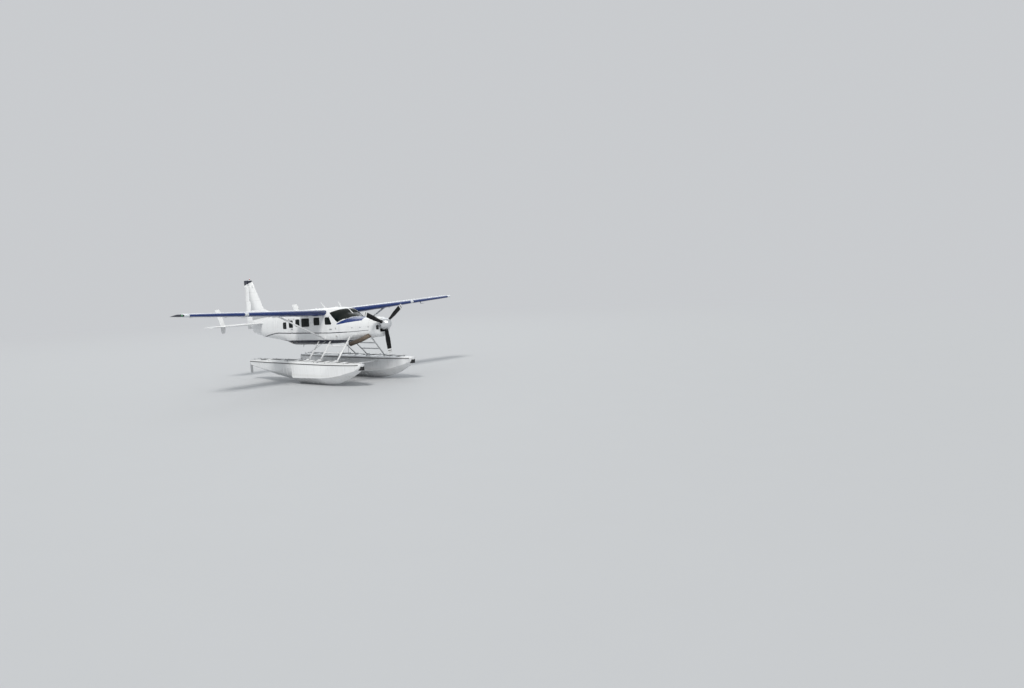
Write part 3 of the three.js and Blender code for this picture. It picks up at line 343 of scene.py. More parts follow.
def bar(bm, start, end, radius, end_radius=None, sides=16):
    """A round rod between two points."""
    start, end = Vector(start), Vector(end)
    run = end - start
    place = Matrix.Translation((start + end) / 2) @ run.to_track_quat("Z", "X").to_matrix().to_4x4()
    if end_radius is None:
        end_radius = radius
    bmesh.ops.create_cone(bm, cap_ends=True, segments=sides, radius1=radius, radius2=end_radius,
        depth=run.length, matrix=place)


def soften(bm, verts, offset, segments):
    """Rounds off the edges at some corners."""
    edges = list({edge for vert in verts for edge in vert.link_edges})
    bmesh.ops.bevel(bm, geom=edges, offset=offset, offset_type="OFFSET", segments=segments, profile=0.5,
        affect="EDGES", clamp_overlap=True, material=-1)


def sheet(bm, cells, size, place, thickness):
    """A grid whose corners are placed by a function of their own places in it, and made thick."""
    verts = bmesh.ops.create_grid(bm, x_segments=cells[0], y_segments=cells[1], size=size)["verts"]
    faces = list({f for v in verts for f in v.link_faces})
    for vert in verts:
        vert.co = place(vert.co.x, vert.co.y)
    bmesh.ops.recalc_face_normals(bm, faces=faces)
    bmesh.ops.solidify(bm, geom=faces, thickness=thickness)


def block(bm, centre, size, turn=None, round_off=0.0, segments=2):
    """A box with rounded edges."""
    place = Matrix.Translation(centre) @ (turn or Matrix.Identity(4)) @ Matrix.Diagonal((*size, 1))
    verts = bmesh.ops.create_cube(bm, size=1.0, matrix=place)["verts"]
    if round_off:
        soften(bm, verts, round_off, segments)


def ball(bm, centre, size, sides):
    """An ellipsoid."""
    place = Matrix.Translation(centre) @ Matrix.Diagonal((*[s / 2 for s in size], 1))
    bmesh.ops.create_uvsphere(bm, u_segments=sides, v_segments=max(6, sides // 2), radius=1.0, matrix=place)


def turned(bm, profile, place, steps):
    """A closed turned shape: (radius, height) pairs from axis to axis, spun round the place's Z axis."""
    verts = [bm.verts.new((radius, 0, height)) for radius, height in profile]
    edges = [bm.edges.new(pair) for pair in zip(verts, verts[1:])]
    first = len(bm.verts) - len(verts)
    bmesh.ops.spin(bm, geom=verts + edges, cent=(0, 0, 0), axis=(0, 0, 1), angle=2 * pi, steps=steps,
        use_merge=True, use_duplicate=False)
    made = list(bm.verts)[first:]
    bmesh.ops.transform(bm, matrix=place, verts=made)
    bmesh.ops.remove_doubles(bm, verts=made, dist=1e-6)


def button(bm, spot, out, radius, height, sides, top=0.8):
    """A low round cap or screw head on a skin."""
    bar(bm, spot - out * 0.003, spot + out * height, radius, radius * top, sides)


def stud(bm, station, height, side, radius, rise, sides=8):
    """A rivet or screw head on the fuselage's side."""
    spot = at_side(station, height, side)
    button(bm, spot, skin_normal(spot), radius, rise, sides)


def slab(bm, outline, depth, place):
    """A flat outline (x, y) in the place's axes, made thick along its Z."""
    face = bm.faces.new([bm.verts.new((x, y, 0)) for x, y in outline])
    made = bmesh.ops.extrude_face_region(bm, geom=[face])["geom"]
    lifted = [g for g in made if isinstance(g, bmesh.types.BMVert)]
    bmesh.ops.translate(bm, vec=(0, 0, depth), verts=lifted)
    verts = list(face.verts) + lifted
    bmesh.ops.transform(bm, matrix=place, verts=verts)
    return verts


def loft(bm, rings, closed=False):
    """A skin over rings of points, capped at its ends unless it is closed."""
    loops = []
    for ring in rings:
        verts = [bm.verts.new(point) for point in ring]
        loops.append([bm.edges.new(pair) for pair in zip(verts, verts[1:] + verts[:1])])
    for one, other in zip(loops, loops[1:] + (loops[:1] if closed else [])):
        bmesh.ops.bridge_loops(bm, edges=one + other)
    if not closed:
        for loop in (loops[0], loops[-1]):
            bmesh.ops.contextual_create(bm, geom=loop)


def foil(centre, along, across, chord, thick, count=14):
    """An oval ring of points."""
    return [centre + along * (x * chord / 2) + across * (y * thick / 2) for x, y in circle(1.0, count)]


def hoop(bm, centre, axis, radius, wire, steps=28, sides=8):
    """A round ring of wire about an axis."""
    side = axis.orthogonal().normalized()
    other = axis.cross(side).normalized()
    path = [centre + side * x + other * y for x, y in circle(radius, steps)]
    sweep(bm, path, [axis] * steps, circle(wire, sides), closed=True)


def drape(points):
    """Points brought on to the fuselage's true skin."""
    line = []
    for point in points:
        _, scale, middle = skin_level(point)
        line.append(vec(point.x, point.y * scale, middle + (point.z - middle) * scale))
    return line


def sweep(bm, path, ups, profile, closed=False):
    """A strip: the profile (across, up) carried along a path whose up directions are given."""
    count = len(path)
    rings = []
    for k, (point, up) in enumerate(zip(path, ups)):
        before = path[(k - 1) % count] if closed or k else point
        after = path[(k + 1) % count] if closed or k < count - 1 else point
        along = (after - before).normalized()
        across = along.cross(up).normalized()
        true_up = across.cross(along)
        rings.append([point + across * a + true_up * b for a, b in profile])
    loft(bm, rings, closed)


def round_rings(path, radii, sides):
    """Round rings square to a path, one for each of its points."""
    run = (path[-1] - path[0]).normalized()
    up = UP if abs(run.z) < 0.9 else PORT
    rings = []
    for k, (point, radius) in enumerate(zip(path, radii)):
        along = (path[min(k + 1, len(path) - 1)] - path[max(k - 1, 0)]).normalized()
        across = along.cross(up).normalized()
        rings.append(foil(point, across, across.cross(along), radius * 2, radius * 2, sides))
    return rings


def tube(bm, path, radius, sides=10):
    """A round tube along a path."""
    loft(bm, round_rings(path, [radius] * len(path), sides))


def curved(points, steps):
    """More points on a smooth line through the given ones."""
    points = [Vector(p) for p in points]
    line = []
    ends = [2 * points[0] - points[1], *points, 2 * points[-1] - points[-2]]
    for a, b, c, d in zip(ends, ends[1:], ends[2:], ends[3:]):
        for k in range(steps):
            t = k / steps
            line.append(0.5 * (2 * b + (c - a) * t + (2 * a - 5 * b + 4 * c - d) * t * t
                + (3 * b - a - 3 * c + d) * t ** 3))
    return line + [points[-1]]


def divided(points, span):
    """Evenly spaced points on a broken line."""
    line = []
    for a, b in zip(points, points[1:]):
        parts = max(1, round((b - a).length / span))
        line += [a.lerp(b, k / parts) for k in range(parts)]
    return line + [points[-1]]


def eased(points, rounds, closed=False):
    """A line whose corners are worn round."""
    for _ in range(rounds):
        worn = [(a + b * 2 + c) / 4 for a, b, c in zip(points[-1:] + points[:-1], points,
            points[1:] + points[:1])]
        points = worn if closed else [points[0], *worn[1:-1], points[-1]]
    return points


def rounded(points, radius, steps=5, span=0.06):
    """A closed outline with rounded corners and evenly divided sides."""
    points = [Vector(p) for p in points]
    corners = []
    for before, corner, after in zip(points[-1:] + points[:-1], points, points[1:] + points[:1]):
        u, v = (before - corner).normalized(), (after - corner).normalized()
        reach = radius / tan(u.angle(v) / 2)
        corners.append((corner + u * reach, corner, corner + v * reach))
    line = []
    for (a, corner, b), (end, _, _) in zip(corners, corners[1:] + corners[:1]):
        line += [a.lerp(corner, t).lerp(corner.lerp(b, t), t) for t in (j / steps for j in range(steps + 1))]
        parts = max(1, round((end - b).length / span))
        line += [b.lerp(end, j / parts) for j in range(1, parts)]
    return line


def oblong(front, rear, bottom, top):
    return [(front, bottom), (front, top), (rear, top), (rear, bottom)]


def plate(bm, front, rear, bottom, top, side, lift, thickness, corner=0.015):
    """A panel with rounded corners on the fuselage's side."""
    side_patch(bm, rounded(oblong(front, rear, bottom, top), corner, 3, 0.5), side, lift, thickness, 6)


def side_patch(bm, outline, side, lift, thickness, cells=10):
    """A panel inside a convex side outline, laid on the fuselage's skin."""
    centre = sum(outline, vec(0, 0)) / len(outline)
    arms = sorted(((p - centre).angle_signed(vec(1, 0)) % (2 * pi), (p - centre)) for p in outline)

    def reach(angle):
        angle %= 2 * pi
        k = next((i for i, arm in enumerate(arms) if arm[0] >= angle), 0)
        (_, a), (_, b) = arms[k - 1], arms[k]
        way = vec(cos(angle), sin(angle))
        edge = b - a
        bottom = way.x * edge.y - way.y * edge.x
        return (a.x * edge.y - a.y * edge.x) / bottom

    def laid(x, y):
        ring, angle = max(abs(x), abs(y)), atan2(y, x)
        spot = centre + vec(cos(angle), sin(angle)) * (ring * reach(angle) if ring else 0)
        return at_side(spot.x, spot.y, side, lift)

    sheet(bm, (cells, cells), 1.0, laid, thickness)


def wing_patch(bm, near, far, low, high, lift, thickness, cells):
    """A panel round the wing's skin, between two side places; parts of the chord underneath are negative."""
    first, last = (copysign(sqrt(abs(v)), v) for v in (low, high))

    def laid(x, y):
        way = first + (last - first) * (y + 0.5)
        return on_wing(near + (far - near) * (x + 0.5), way * way, way > 0, lift)

    sheet(bm, cells, 0.5, laid, thickness)


def moulding(half, foot, edge, crown, share):
    """A strip's section: half width, depth of its foot, heights of edge and crown, width of the crown."""
    wing = [(-half, -foot), (-half, edge), (-half * share, crown)]
    return wing + [(-x, z) for x, z in reversed(wing)]


def ridge(bm, path, profile, closed=False):
    """A strip along a path on the fuselage's skin."""
    sweep(bm, path, [skin_normal(p) for p in path], profile, closed)


def side_ring(bm, outline, side, profile):
    """A frame round a side outline on the fuselage's skin."""
    ridge(bm, [at_side(p.x, p.y, side) for p in outline], profile, closed=True)


def piece(name, bm, material, body="airframe", stand=True, crease=32, merge=1e-5):
    """Turns a bmesh into a finished piece: doubles merged, faces outwards, smooth but for its edges."""
    if merge:
        bmesh.ops.remove_doubles(bm, verts=bm.verts, dist=merge)
    bmesh.ops.recalc_face_normals(bm, faces=bm.faces)
    if stand:
        bm.transform(STAND_UP)
    mesh = bpy.data.meshes.new(name)
    bm.to_mesh(mesh)
    bm.free()
    mesh.polygons.foreach_set("use_smooth", [True] * len(mesh.polygons))
    mesh.set_sharp_from_angle(angle=radians(crease))
    made = bpy.data.objects.new(name, mesh)
    bpy.context.scene.collection.objects.link(made)
    for item in material if isinstance(material, (list, tuple)) else [material]:
        mesh.materials.append(item)
    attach(made, body)
    return made


def merged(node):
    """A merged copy of a CAD node's mesh, in the airframe's own axes."""
    bm = bmesh.new()
    bm.from_mesh(frame["nodes"][node].data)
    bm.transform(LIE_DOWN)
    bmesh.ops.remove_doubles(bm, verts=bm.verts, dist=2e-5)
    return bm


def body_of(node):
    return next(b for b, members in frame["record"]["behaviour"]["bodies"].items() if node in members)


def smooth_copy(node, material, crease):
    """A merged, smoothly shaded copy that stands for a CAD node."""
    made = piece(node + "_skin", merged(node), material, body_of(node), crease=crease)
    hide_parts(node)
    return made


def lay_normals(mesh, normals):
    """Shades the faces at some of a mesh's vertices by the ways out of the true skin there."""
    turn = STAND_UP.to_3x3()
    corners = [corner.vector.copy() for corner in mesh.corner_normals]
    for face in mesh.polygons:
        for loop, index in zip(face.loop_indices, face.vertices):
            if index in normals and (turn @ normals[index]).dot(face.normal) > 0.8:
                corners[loop] = turn @ normals[index]
    mesh.normals_split_custom_set(corners)


def wing_copy(node, material):
    """A copy of a wing that is shaded as its true section."""
    made = smooth_copy(node, material, 40)
    normals = {}
    for vert in made.data.vertices:
        spot = LIE_DOWN @ vert.co
        edge, height, chord, _, turn = wing_at(spot.y)
        back, rise = -spot.x - edge, spot.z - height
        share = (back * cos(turn) - rise * sin(turn)) / chord
        over = back * sin(turn) + rise * cos(turn) > 0.08 * share * (1 - share) * chord
        if 0.03 < share < 0.98 and (on_wing(spot.y, share, over) - spot).length < 0.004:
            normals[vert.index] = wing_normal(spot.y, share, over)
    lay_normals(made.data, normals)


def fair_copy(node, material, lining=None):
    """A copy of a fuselage node whose outer faces are divided and drawn on to the true skin."""
    bm = merged(node)
    bmesh.ops.triangulate(bm, faces=bm.faces)

    def outside(vert):
        level, scale, middle = skin_level(vert.co, straight=True)
        arm = hypot(vert.co.y, vert.co.z - middle)
        return level > 0.5 and abs(scale - 1) * arm < 0.0062

    for _ in range(5):
        outer = {vert for vert in bm.verts if outside(vert)}
        edges = [e for e in bm.edges if e.calc_length() > SKIN_CELL and e.verts[0] in outer
            and e.verts[1] in outer]
        if not edges:
            break
        bmesh.ops.subdivide_edges(bm, edges=edges, cuts=1)
        bmesh.ops.triangulate(bm, faces=[f for f in bm.faces if len(f.verts) > 3])
    bm.verts.index_update()
    outer = {vert.index for vert in bm.verts if outside(vert)}
    for vert in bm.verts:
        if vert.index in outer:
            _, scale, middle = skin_level(vert.co)
            vert.co = (vert.co.x, vert.co.y * scale, middle + (vert.co.z - middle) * scale)
    normals = {vert.index: skin_normal(vert.co) for vert in bm.verts if vert.index in outer}
    made = piece(node + "_skin", bm, material, body_of(node), crease=30, merge=0)
    mesh = made.data
    lay_normals(mesh, normals)
    if lining:
        mesh.materials.append(lining)
        for face in mesh.polygons:
            face.material_index = 0 if outer.intersection(face.vertices) else 1
    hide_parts(node)
    return made


# Shader parts

TREES = []   # the node trees being wired, the innermost last


class Flow:
    """A socket to reckon with: each sum, difference, product or quotient is a Math node."""

    def __init__(self, socket):
        self.socket = socket

    def __add__(self, other):
        return maths("ADD", self, other)

    def __sub__(self, other):
        return maths("SUBTRACT", self, other)

    def __rsub__(self, other):
        return maths("SUBTRACT", other, self)

    def __mul__(self, other):
        return maths("MULTIPLY", self, other)

    def __truediv__(self, other):
        return maths("DIVIDE", self, other)

    def __abs__(self):
        return maths("ABSOLUTE", self)


def wired(tree, wire, *given):
    """Runs a wiring function with a tree as the one being wired."""
    TREES.append(tree)
    result = wire(*given)
    TREES.pop()
    return result


def feed(socket, value):
    """Links a flow to a socket, or sets the socket."""
    if isinstance(value, Flow):
        TREES[-1].links.new(value.socket, socket)
    else:
        socket.default_value = (*value[:3], 1.0) if socket.type == "RGBA" else value


def add(kind, inputs, **fields):
    """Adds a node, sets its fields, and sets or links its inputs."""
    node = TREES[-1].nodes.new(kind)
    for key, value in fields.items():
        setattr(node, key, value)
    for key, value in inputs.items():
        feed(node.inputs[key], value)
    return node


def flow(kind, inputs, output=0, **fields):
    """Adds a node and gives one of its outputs."""
    return Flow(add(kind, inputs, **fields).outputs[output])


def standing(kind):
    """The node of a kind that the tree came with."""
    return next(node for node in TREES[-1].nodes if node.type == kind)


def maths(operation, a, b=0.0, clamp=False):
    return flow("ShaderNodeMath", {0: a, 1: b}, operation=operation, use_clamp=clamp)


def mix(share, a, b, blend="MIX"):
    """A colour between two others."""
    return flow("ShaderNodeMix", {0: share, 6: a, 7: b}, 2, data_type="RGBA", blend_type=blend)


def ramp(value, low, high, **fields):
    """A value's way from zero at the low limit to one at the high one."""
    return flow("ShaderNodeMapRange", {0: value, 1: low, 2: high}, **fields)


def over(value, edge, soft=0.003):
    """One where the value is over the edge, with a slightly soft border."""
    return ramp(value, edge - soft, edge + soft)


def under(value, edge, soft=0.003):
    return 1.0 - over(value, edge, soft)


def between(value, low, high, soft=0.003):
    return over(value, low, soft) * under(value, high, soft)


def follow(value, points):
    """A height that follows a broken line of (place, height) points."""
    (first, last), heights = (points[0][0], points[-1][0]), [h for _, h in points]
    low, high = min(heights) - 0.01, max(heights) + 0.01
    curve = add("ShaderNodeFloatCurve", {1: ramp(value, first, last)})
    line = curve.mapping.curves[0]
    spots = [((p - first) / (last - first), (h - low) / (high - low)) for p, h in points]
    line.points[0].location, line.points[1].location = spots[0], spots[-1]
    for spot in spots[1:-1]:
        line.points.new(*spot)
    for point in line.points:
        point.handle_type = "VECTOR"
    curve.mapping.update()
    return Flow(curve.outputs[0]) * (high - low) + low


def object_place():
    return flow("ShaderNodeTexCoord", {}, "Object")


def parts_of(vector):
    """The three parts of a vector."""
    return [Flow(socket) for socket in add("ShaderNodeSeparateXYZ", {0: vector}).outputs]


def noise(scale, detail=3.0, rough=0.5, stretch=(1, 1, 1)):
    place = flow("ShaderNodeMapping", {"Vector": object_place(), "Scale": stretch})
    return flow("ShaderNodeTexNoise", {"Vector": place, "Scale": scale, "Detail": detail,
        "Roughness": rough}, "Fac")


def group(name, **inputs):
    """Makes a wiring function place a shader node group, which is built once, and give its outputs."""
    def build(wire):
        tree = bpy.data.node_groups.new(name, "ShaderNodeTree")
        for label, default in inputs.items():
            kind = "Color" if isinstance(default, tuple) else "Float"
            socket = tree.interface.new_socket(name=label.replace("_", " "), in_out="INPUT",
                socket_type="NodeSocket" + kind)
            socket.default_value = (*default, 1.0) if kind == "Color" else default
        results = wired(tree, wire, *[Flow(s)
            for s in list(tree.nodes.new("NodeGroupInput").outputs)[:len(inputs)]])
        for label in results:
            kind = "Color" if label == "Colour" else "Float"
            tree.interface.new_socket(name=label, in_out="OUTPUT", socket_type="NodeSocket" + kind)
        sink = tree.nodes.new("NodeGroupOutput")
        for label, value in results.items():
            tree.links.new(value.socket, sink.inputs[label])
        return tree

    def placing(wire):
        def place(*values):
            tree = bpy.data.node_groups.get(name) or build(wire)
            node = add("ShaderNodeGroup", {}, node_tree=tree)
            for socket, value in zip(node.inputs, values):
                feed(socket, value)
            return {socket.name: Flow(socket) for socket in node.outputs}
        return place
    return placing


@group("Airframe axes")
def airframe_axes():
    place = flow("ShaderNodeMapping", {"Vector": object_place(), "Location": NOSE[:],
        "Rotation": (0, -LEAN, 0)}, vector_type="TEXTURE")
    x, y, z = parts_of(place)
    return {"Station": x * -1.0, "Side": y, "Out": abs(y), "Height": z}


@group("Weathering", Colour=(0.8, 0.8, 0.8), Roughness=0.2, Dirt=0.2)
def weathering(colour, rough, dirt):
    """Faint cloudiness, runs down the sides, dust on top, and the orange peel of sprayed paint."""
    cloud = noise(0.9, 4.0)
    runs = noise(5.0, 3.0, 0.55, (1.0, 1.0, 0.12))
    up = parts_of(flow("ShaderNodeNewGeometry", {}, "Normal"))[2]
    dust = over(up, 0.55, 0.4) * noise(1.7, 2.0)
    streak = ramp(runs, 0.5, 0.75) * under(up, 0.45, 0.4)
    grime = maths("MULTIPLY", streak * 0.6 + dust, dirt, clamp=True)
    faded = mix(cloud * 0.10, colour, (0.55, 0.56, 0.57), "MULTIPLY")
    return {"Colour": mix(grime, faded, (0.30, 0.28, 0.24)),
        "Roughness": rough + (grime * 0.35 + cloud * 0.06), "Height": noise(190.0, 2.0)}


@group("Riveting", Along=0.0, Up=0.0, Frame_pitch=0.62, Stringer_pitch=0.31, Rivet_pitch=0.045)
def riveting(along, up, frames, stringers, rivets):
    """Rows of flush rivets and lapped seams on a grid of two measures."""
    def off_line(value, pitch):
        return abs(maths("FRACT", value / pitch) - 0.5) * pitch

    def head(across, down):
        return under(maths("SQRT", across * across + down * down), 0.0035, 0.0015)
    seam = off_line(along, frames)
    rows = head(seam, off_line(up, rivets)), head(off_line(up, stringers), off_line(along, rivets))
    return {"Rivets": maths("MAXIMUM", *rows), "Seams": under(seam, 0.0025, 0.0012)}


@group("Wear", Amount=0.5)
def wear(amount):
    """A mask of small scuffs and chips."""
    mask = over(noise(38.0, 6.0, 0.7), 0.62, 0.02) * over(noise(3.0, 2.0), 0.52, 0.08)
    return {"Mask": maths("MULTIPLY", mask, amount, clamp=True)}


@group("Grain", Colour=(0.1, 0.1, 0.1), Roughness=0.6, Contrast=0.4)
def grain(colour, rough, contrast):
    """Fine moulded or cast grain."""
    fine, coarse = noise(260.0, 3.0, 0.6), noise(22.0, 2.0)
    return {"Colour": mix(coarse * contrast, colour, (0.5, 0.5, 0.5), "MULTIPLY"), "Height": fine,
            "Roughness": coarse * 0.15 + rough}


@group("Weave", Colour=(0.1, 0.1, 0.12), Threads=1800.0)
def weave(colour, threads):
    """Woven cloth: two crossed threads."""
    x, y, z = parts_of(object_place())
    cross = maths("SINE", y * threads) * maths("SINE", (z + x) * threads)
    return {"Colour": mix(cross * 0.15 + noise(120.0, 4.0) * 0.5, colour, (0.35, 0.37, 0.42)),
        "Height": cross}


# Materials

def finish(colour, rough, metallic=0.0, height=None, strength=0.2, reach=0.001, **own):
    """Wires the Principled shader of a material."""
    surface = standing("BSDF_PRINCIPLED")
    for label, value in {"Base Color": colour, "Roughness": rough, "Metallic": metallic, **own}.items():
        feed(surface.inputs[label.replace("_", " ")], value)
    if height is not None:
        feed(surface.inputs["Normal"], flow("ShaderNodeBump", {"Height": height, "Strength": strength,
                                                               "Distance": reach}))


MADE = {}


def material(name, wire):
    """A material of that name, wired once."""
    if name not in MADE:
        MADE[name] = bpy.data.materials.new(name)
        MADE[name].use_nodes = True
        wired(MADE[name].node_tree, wire)
    return MADE[name]


def finish_of(name):
    """Makes a wiring function give the material of that name."""
    return lambda wire: lambda: material(name, wire)


def painted(colour, dirt, seams=None, chips=0.0):
    """Gloss paint with weathering; seams are two measures and the pitches of frames and stringers."""
    coat = weathering(colour, settings("paint").gloss, dirt)
    shade, height = coat["Colour"], coat["Height"] * 0.12
    if seams:
        heads = riveting(*seams)
        shade = mix(heads["Seams"] * 0.55, shade, (0.12, 0.12, 0.13))
        shade = mix(heads["Rivets"] * 0.30, shade, (0.30, 0.30, 0.31))
        height = height + (heads["Rivets"] - heads["Seams"])
    if chips:
        shade = mix(wear(chips)["Mask"], shade, (0.32, 0.32, 0.33))
    finish(shade, coat["Roughness"], height=height, strength=0.25, reach=0.002,
           Specular_IOR_Level=0.4, Coat_Weight=0.12, Coat_Roughness=0.08)


@finish_of("Fuselage paint")
def fuselage_paint():
    paint, at = settings("paint"), airframe_axes()
    station, out, height = at["Station"], at["Out"], at["Height"]
    stripe_line = follow(station, [(0.9, -0.235), (2.07, -0.268), (3.39, -0.268), (4.93, -0.225),
        (7.75, -0.150), (8.1, -0.162), (8.5, -0.192), (9.0, -0.245), (9.4, -0.295), (9.8, -0.338),
        (10.1, -0.350)])
    width = follow(station, [(0.9, 0.20), (2.25, 0.25), (2.35, 0.38), (6.5, 0.48), (9.6, 0.5), (10.1, 0.2)])
    stripe = under(abs(height - stripe_line), width * paint.stripe_width, 0.002)
    stripe = stripe * between(station, 0.95, 10.05, 0.01) * over(out, 0.05, 0.01)
    belly_line = follow(station, [(2.3, -0.66), (2.69, -0.637), (4.20, -0.588), (5.78, -0.557),
        (7.0, -0.545), (7.5, -0.520), (8.0, -0.500)])
    belly = under(height, belly_line) * between(station, 2.32, 8.0, 0.01)
    panel_foot = follow(station, [(1.3, 0.237), (1.5, 0.225), (2.0, 0.190), (2.31, 0.167), (2.7, 0.125),
        (3.0, 0.100)])
    under_glass = follow(station, [(1.3, 0.6), (2.305, 0.6), (2.31, 0.375), (2.88, 0.165), (3.0, 0.115)])
    glare = over(height, panel_foot) * between(station, 1.40, 2.92, 0.004) * under(height, under_glass)
    colour = mix(glare, mix(belly, mix(stripe, paint.white, paint.navy), paint.navy), paint.blue)
    painted(colour, 0.16, (station, height, 0.625, 0.29))


@finish_of("Wing paint")
def wing_paint():
    paint, at = settings("paint"), airframe_axes()
    place = ramp(at["Out"], WING["root"], WING["tip"], clamp=False)
    edge, height, chord = [place * (b - a) + a for a, b in (WING["edge"], WING["height"], WING["chord"])]
    back = at["Station"] - edge
    behind = back / chord
    slope = tan(WING["incidence"][0])
    drop = back * (place * -slope + slope)
    on_top = over(at["Height"] - height + drop, 0.008, 0.004)
    below = place * (paint.edge_band * 0.7) + paint.edge_band
    limit = flow("ShaderNodeMix", {0: on_top, 2: below, 3: paint.edge_top}, data_type="FLOAT")
    lamp = between(at["Out"], *LAMP_BAY) * under(behind, 0.10)
    colour = mix(lamp, mix(under(behind, limit, 0.0015), paint.white, paint.blue), paint.white)
    colour = mix(over(at["Out"], WING["tip"] - paint.tip_cap), colour, paint.navy)
    painted(colour, 0.14, (at["Side"], at["Station"], 0.70, 0.42))


@finish_of("Fin paint")
def tail_paint():
    paint, at = settings("paint"), airframe_axes()
    cap_line = follow(at["Station"], [(10.4, 2.62), (10.7, 2.60), (11.42, 2.46)])
    colour = mix(over(at["Height"], cap_line), paint.white, paint.navy)
    painted(colour, 0.12, (at["Height"], at["Station"], 0.46, 0.40))


@finish_of("Stabiliser paint")
def stabiliser_paint():
    at = airframe_axes()
    painted(settings("paint").white, 0.12, (at["Side"], at["Station"], 0.52, 0.36))


@finish_of("Strut paint")
def plain_paint():
    painted(settings("paint").white, 0.22, chips=0.35)


@finish_of("Float paint")
def float_paint():
    x, _, z = parts_of(object_place())
    waterline = between(z, 0.42, 0.50, 0.05) * noise(7.0, 6.0)
    base = mix(waterline * 0.30, settings("paint").white, (0.45, 0.43, 0.34))
    scuff = under(z, 0.10, 0.10) * noise(30.0, 6.0, 0.7)
    painted(mix(scuff * 0.45, base, (0.40, 0.40, 0.40)), 0.26, (BOW - x, z, 0.52, 0.235))


# Panes painted near-black and nearly opaque (alpha 0.95): partly real tint, partly painted shade for the dim cabin
# behind them.
def tinted_glass_with_painted_shade():
    def wire():
        look = weathering(settings("glass").tint, 0.03, 0.10)
        finish(look["Colour"], look["Roughness"], Alpha=0.95, Specular_IOR_Level=0.13)
    made = material("Tinted acrylic", wire)
    made.surface_render_method = "BLENDED"
    return made


@finish_of("Propeller finish")
def propeller_finish():
    """Satin black blades with white tip bands, and a polished spinner."""
    at = airframe_axes()
    radius = maths("SQRT", at["Side"] * at["Side"] + at["Height"] * at["Height"])
    bands = over(radius, 1.165) * (1.0 - between(radius, 1.235, 1.262))
    spinner = under(radius, 0.270, 0.002)
    edge = wear(0.5)["Mask"] * over(radius, 0.6, 0.3)
    colour = mix(spinner, mix(bands, (0.004, 0.004, 0.005), (0.80, 0.80, 0.80)), (0.72, 0.73, 0.75))
    coat = weathering(mix(edge, colour, (0.42, 0.42, 0.43)), 0.38, 0.06)
    finish(coat["Colour"], spinner * -0.08 + coat["Roughness"], maths("MAXIMUM", spinner * 0.75, edge),
           height=coat["Height"], strength=0.06, Specular_IOR_Level=0.22)


@finish_of("Sooty steel")
def sooty_steel():
    heat = ramp(airframe_axes()["Station"] + noise(6.0, 4.0) * 0.5, 1.1, 2.5)
    colour = mix(heat, (0.30, 0.24, 0.19), (0.10, 0.075, 0.055))
    colour = mix(over(noise(24.0, 6.0, 0.65), 0.55, 0.1) * 0.55, colour, (0.045, 0.040, 0.036))
    finish(colour, noise(40.0) * 0.3 + 0.36, 0.8, height=noise(90.0), strength=0.25)


@finish_of("Bare metal")
def bare_metal():
    brushed = noise(60.0, 4.0, 0.6, (0.15, 1.0, 1.0))
    colour = mix(wear(0.4)["Mask"], (0.48, 0.49, 0.50), (0.22, 0.22, 0.23))
    finish(colour, brushed * 0.22 + 0.24, 0.9, height=brushed, strength=0.12)


def grained(name, colour, rough, contrast, strength, metallic=0.0):
    def wire():
        look = grain(colour, rough, contrast)
        finish(look["Colour"], look["Roughness"], metallic, look["Height"], strength)
    return material(name, wire)


def rubber():
    return grained("Black rubber", (0.022, 0.022, 0.024), 0.62, 0.6, 0.25)


def dark_trim():
    return grained("Moulded trim", settings("cabin").trim, 0.66, 0.5, 0.3)


def cabin_liner():
    return grained("Cabin liner", settings("cabin").liner, 0.72, 0.25, 0.2)


def cast_metal():
    return grained("Cast metal", (0.20, 0.205, 0.21), 0.5, 0.7, 0.4, 0.6)


def woven(name, colour, threads, rough, strength, reach, sheen):
    def wire():
        look = weave(colour, threads)
        finish(look["Colour"], rough, 0.0, look["Height"], strength, reach, Sheen_Weight=sheen)
    return material(name, wire)


def seat_cloth():
    return woven("Seat cloth", settings("cabin").cloth, 1500.0, 0.86, 0.35, 0.0008, 0.25)


def belt_webbing():
    return woven("Belt webbing", (0.030, 0.032, 0.036), 2600.0, 0.7, 0.4, 0.0006, 0.1)


@finish_of("Carpet")
def carpet():
    tuft = noise(320.0, 5.0, 0.7)
    finish(mix(tuft, (0.03, 0.033, 0.04), (0.09, 0.095, 0.11)), 0.95, 0.0, tuft, 0.7, 0.003,
        Sheen_Weight=0.2)


@finish_of("Walkway grit")
def walkway():
    grit = noise(420.0, 4.0, 0.8)
    finish(mix(grit, (0.10, 0.105, 0.11), (0.20, 0.205, 0.21)), 0.9, 0.0, grit, 0.8, 0.002)


def lens(name, colour):
    def wire():
        ribs = flow("ShaderNodeTexWave", {"Vector": object_place(), "Scale": 60.0}, "Fac")
        shade = mix(ribs * 0.3, colour, tuple(c * 0.6 for c in colour))
        finish(shade, 0.08, height=ribs, Coat_Weight=0.8)
    return material(name, wire)


# Stage

FLOOR_RADIUS = 160.0
FLOOR_FADE = (22.0, 75.0)   # distances from the middle over which the floor turns into the backdrop
SKY_TINT = (0.93, 0.97, 1.0)
CAMERA_AT = vec(30.349, -27.018, 4.872)   # ahead of the spinner tip, to starboard, over the floor
CAMERA_TURN = atan2(24, -26) - 0.117
CAMERA_DIP = 0.082
CAMERA_ROLL = -0.046
PHOTO_WIDTH = 1024
CAMERA_FOCUS = 886.98   # focal length in pixels of the photograph
SENSOR = 36.0
VIEW_DEPTH = 500.0


